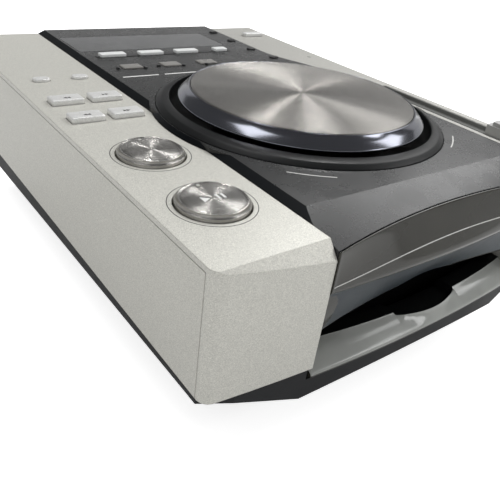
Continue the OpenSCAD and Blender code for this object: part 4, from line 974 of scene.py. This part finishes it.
# %% A level for each kind of ray
def ray_level(tree, lighting, mirrored, seen):
    """A number by kind of ray: seen for a ray from the camera or through glass, mirrored for a
    glossy one, lighting for the rest. Each Map Range goes from the level so far to its own."""
    path = tree.nodes.new("ShaderNodeLightPath").outputs
    straight = tree.nodes.new("ShaderNodeMath")
    straight.operation = "MAXIMUM"
    tree.links.new(path["Is Camera Ray"], straight.inputs[0])
    tree.links.new(path["Is Transmission Ray"], straight.inputs[1])
    level = None
    for share, end in ((path["Is Glossy Ray"], mirrored), (straight.outputs[0], seen)):
        step = tree.nodes.new("ShaderNodeMapRange")
        step.inputs[3].default_value, step.inputs[4].default_value = lighting, end
        tree.links.new(share, step.inputs[0])
        if level is not None:
            tree.links.new(level, step.inputs[3])
        level = step.outputs[0]
    return level


def grey(level):
    """A linear grey as a shader takes it."""
    return (level, level, level, 1)


def staged(name, vertices, faces, tone, levels):
    """A piece of the studio: paper of one tone that also shines by itself, by kind of ray."""
    mesh = bpy.data.meshes.new(name)
    mesh.from_pydata(vertices, [], faces)
    made = bpy.data.objects.new(name, mesh)
    bpy.context.scene.collection.objects.link(made)
    f = Finish(name + "_paper", Roughness=0.9, Emission_Strength=1.0)
    paper = f.noise(30.0, 3.0).ramp(0.3, 0.7)
    shine = Signal(f, ray_level(f.tree, *levels))
    f.set(
        Base_Color=f.mix(paper, grey(tone - 0.01), grey(tone + 0.01)),
        Emission_Color=f.mix(shine, grey(0), grey(1)),
    )
    mesh.materials.append(f.material)
    return made


print("studio paper ready")

# %% [markdown]
# The floor is one large square and the wall a low round band of 96 quads, both in metres. Their
# three levels, like those of the sky, are for lighting, for mirrors and for the camera.

# %% Floor, wall and sky
HALF, WALL_R, WALL_H, STEPS = 6.0, 3, 0.9, 96

square = [(-HALF, -HALF, 0), (HALF, -HALF, 0), (HALF, HALF, 0), (-HALF, HALF, 0)]
staged("studio_floor", square, [(0, 1, 2, 3)], 0.85, (0.0, 0.08, 0.75))
turn = np.linspace(0, 2 * np.pi, STEPS, endpoint=False)
wall = [(WALL_R * math.cos(t), WALL_R * math.sin(t), z) for z in (0.0, WALL_H) for t in turn]
after = [(i + 1) % STEPS for i in range(STEPS)]
quads = [(i, STEPS + i, STEPS + j, j) for i, j in enumerate(after)]
staged("studio_wall", wall, quads, 0.8, (0.1, 0.24, 1.0))

world = bpy.data.worlds.new("studio_sky")
bpy.context.scene.world = world
world.use_nodes = True
sky = world.node_tree.nodes["Background"]
sky.inputs["Color"].default_value = grey(1)
world.node_tree.links.new(ray_level(world.node_tree, 0.46, 0.15, 1.0), sky.inputs["Strength"])
print("floor, wall and sky ready")

# %% [markdown]
# The spun metal shows each lamp as a wedge, so two small lamps stand where the picture's wedges
# say: the direction of a lamp is the view direction mirrored in a ring that leans towards it.
# Two large ones are the windows that the chrome shows. The others light facet, front and side.

# %% Lamps
AIM = Vector((0, 0, 0.09))


def lamp(name, direction, far, size, power):
    """A square lamp that stands far metres from the player in a direction and looks at it."""
    data = bpy.data.lights.new(name, "AREA")
    data.shape, data.size, data.size_y, data.energy = "RECTANGLE", size, size, power
    made = bpy.data.objects.new(name, data)
    bpy.context.scene.collection.objects.link(made)
    made.location = AIM + Vector(direction).normalized() * far
    made.rotation_mode = "QUATERNION"
    made.rotation_quaternion = (AIM - made.location).to_track_quat("-Z", "Y")


lamp("lamp_wedge_a", (0.573, 0.460, 0.679), 1.5, 0.16, 3.4)
lamp("lamp_wedge_b", (0.185, 0.458, 0.870), 1.5, 0.14, 3.6)
lamp("lamp_window_c", (-0.340, 0.170, 0.925), 1.5, 0.55, 3.8)
lamp("lamp_window_d", (0.753, -0.230, 0.616), 1.5, 0.55, 3.8)
lamp("lamp_facet_e", (0.788, 0.287, 0.545), 1.5, 0.50, 3.0)
lamp("lamp_front_f", (0.580, -0.654, 0.497), 1.5, 0.40, 2.6)
lamp("lamp_side_g", (-0.740, -0.580, 0.340), 0.7, 0.40, 0.2)
bpy.context.scene.view_settings.view_transform = "Standard"
print("studio lit by", len(bpy.data.lights), "lamps")

# %% [markdown] The new surfaces should not make the player larger than its solids say.
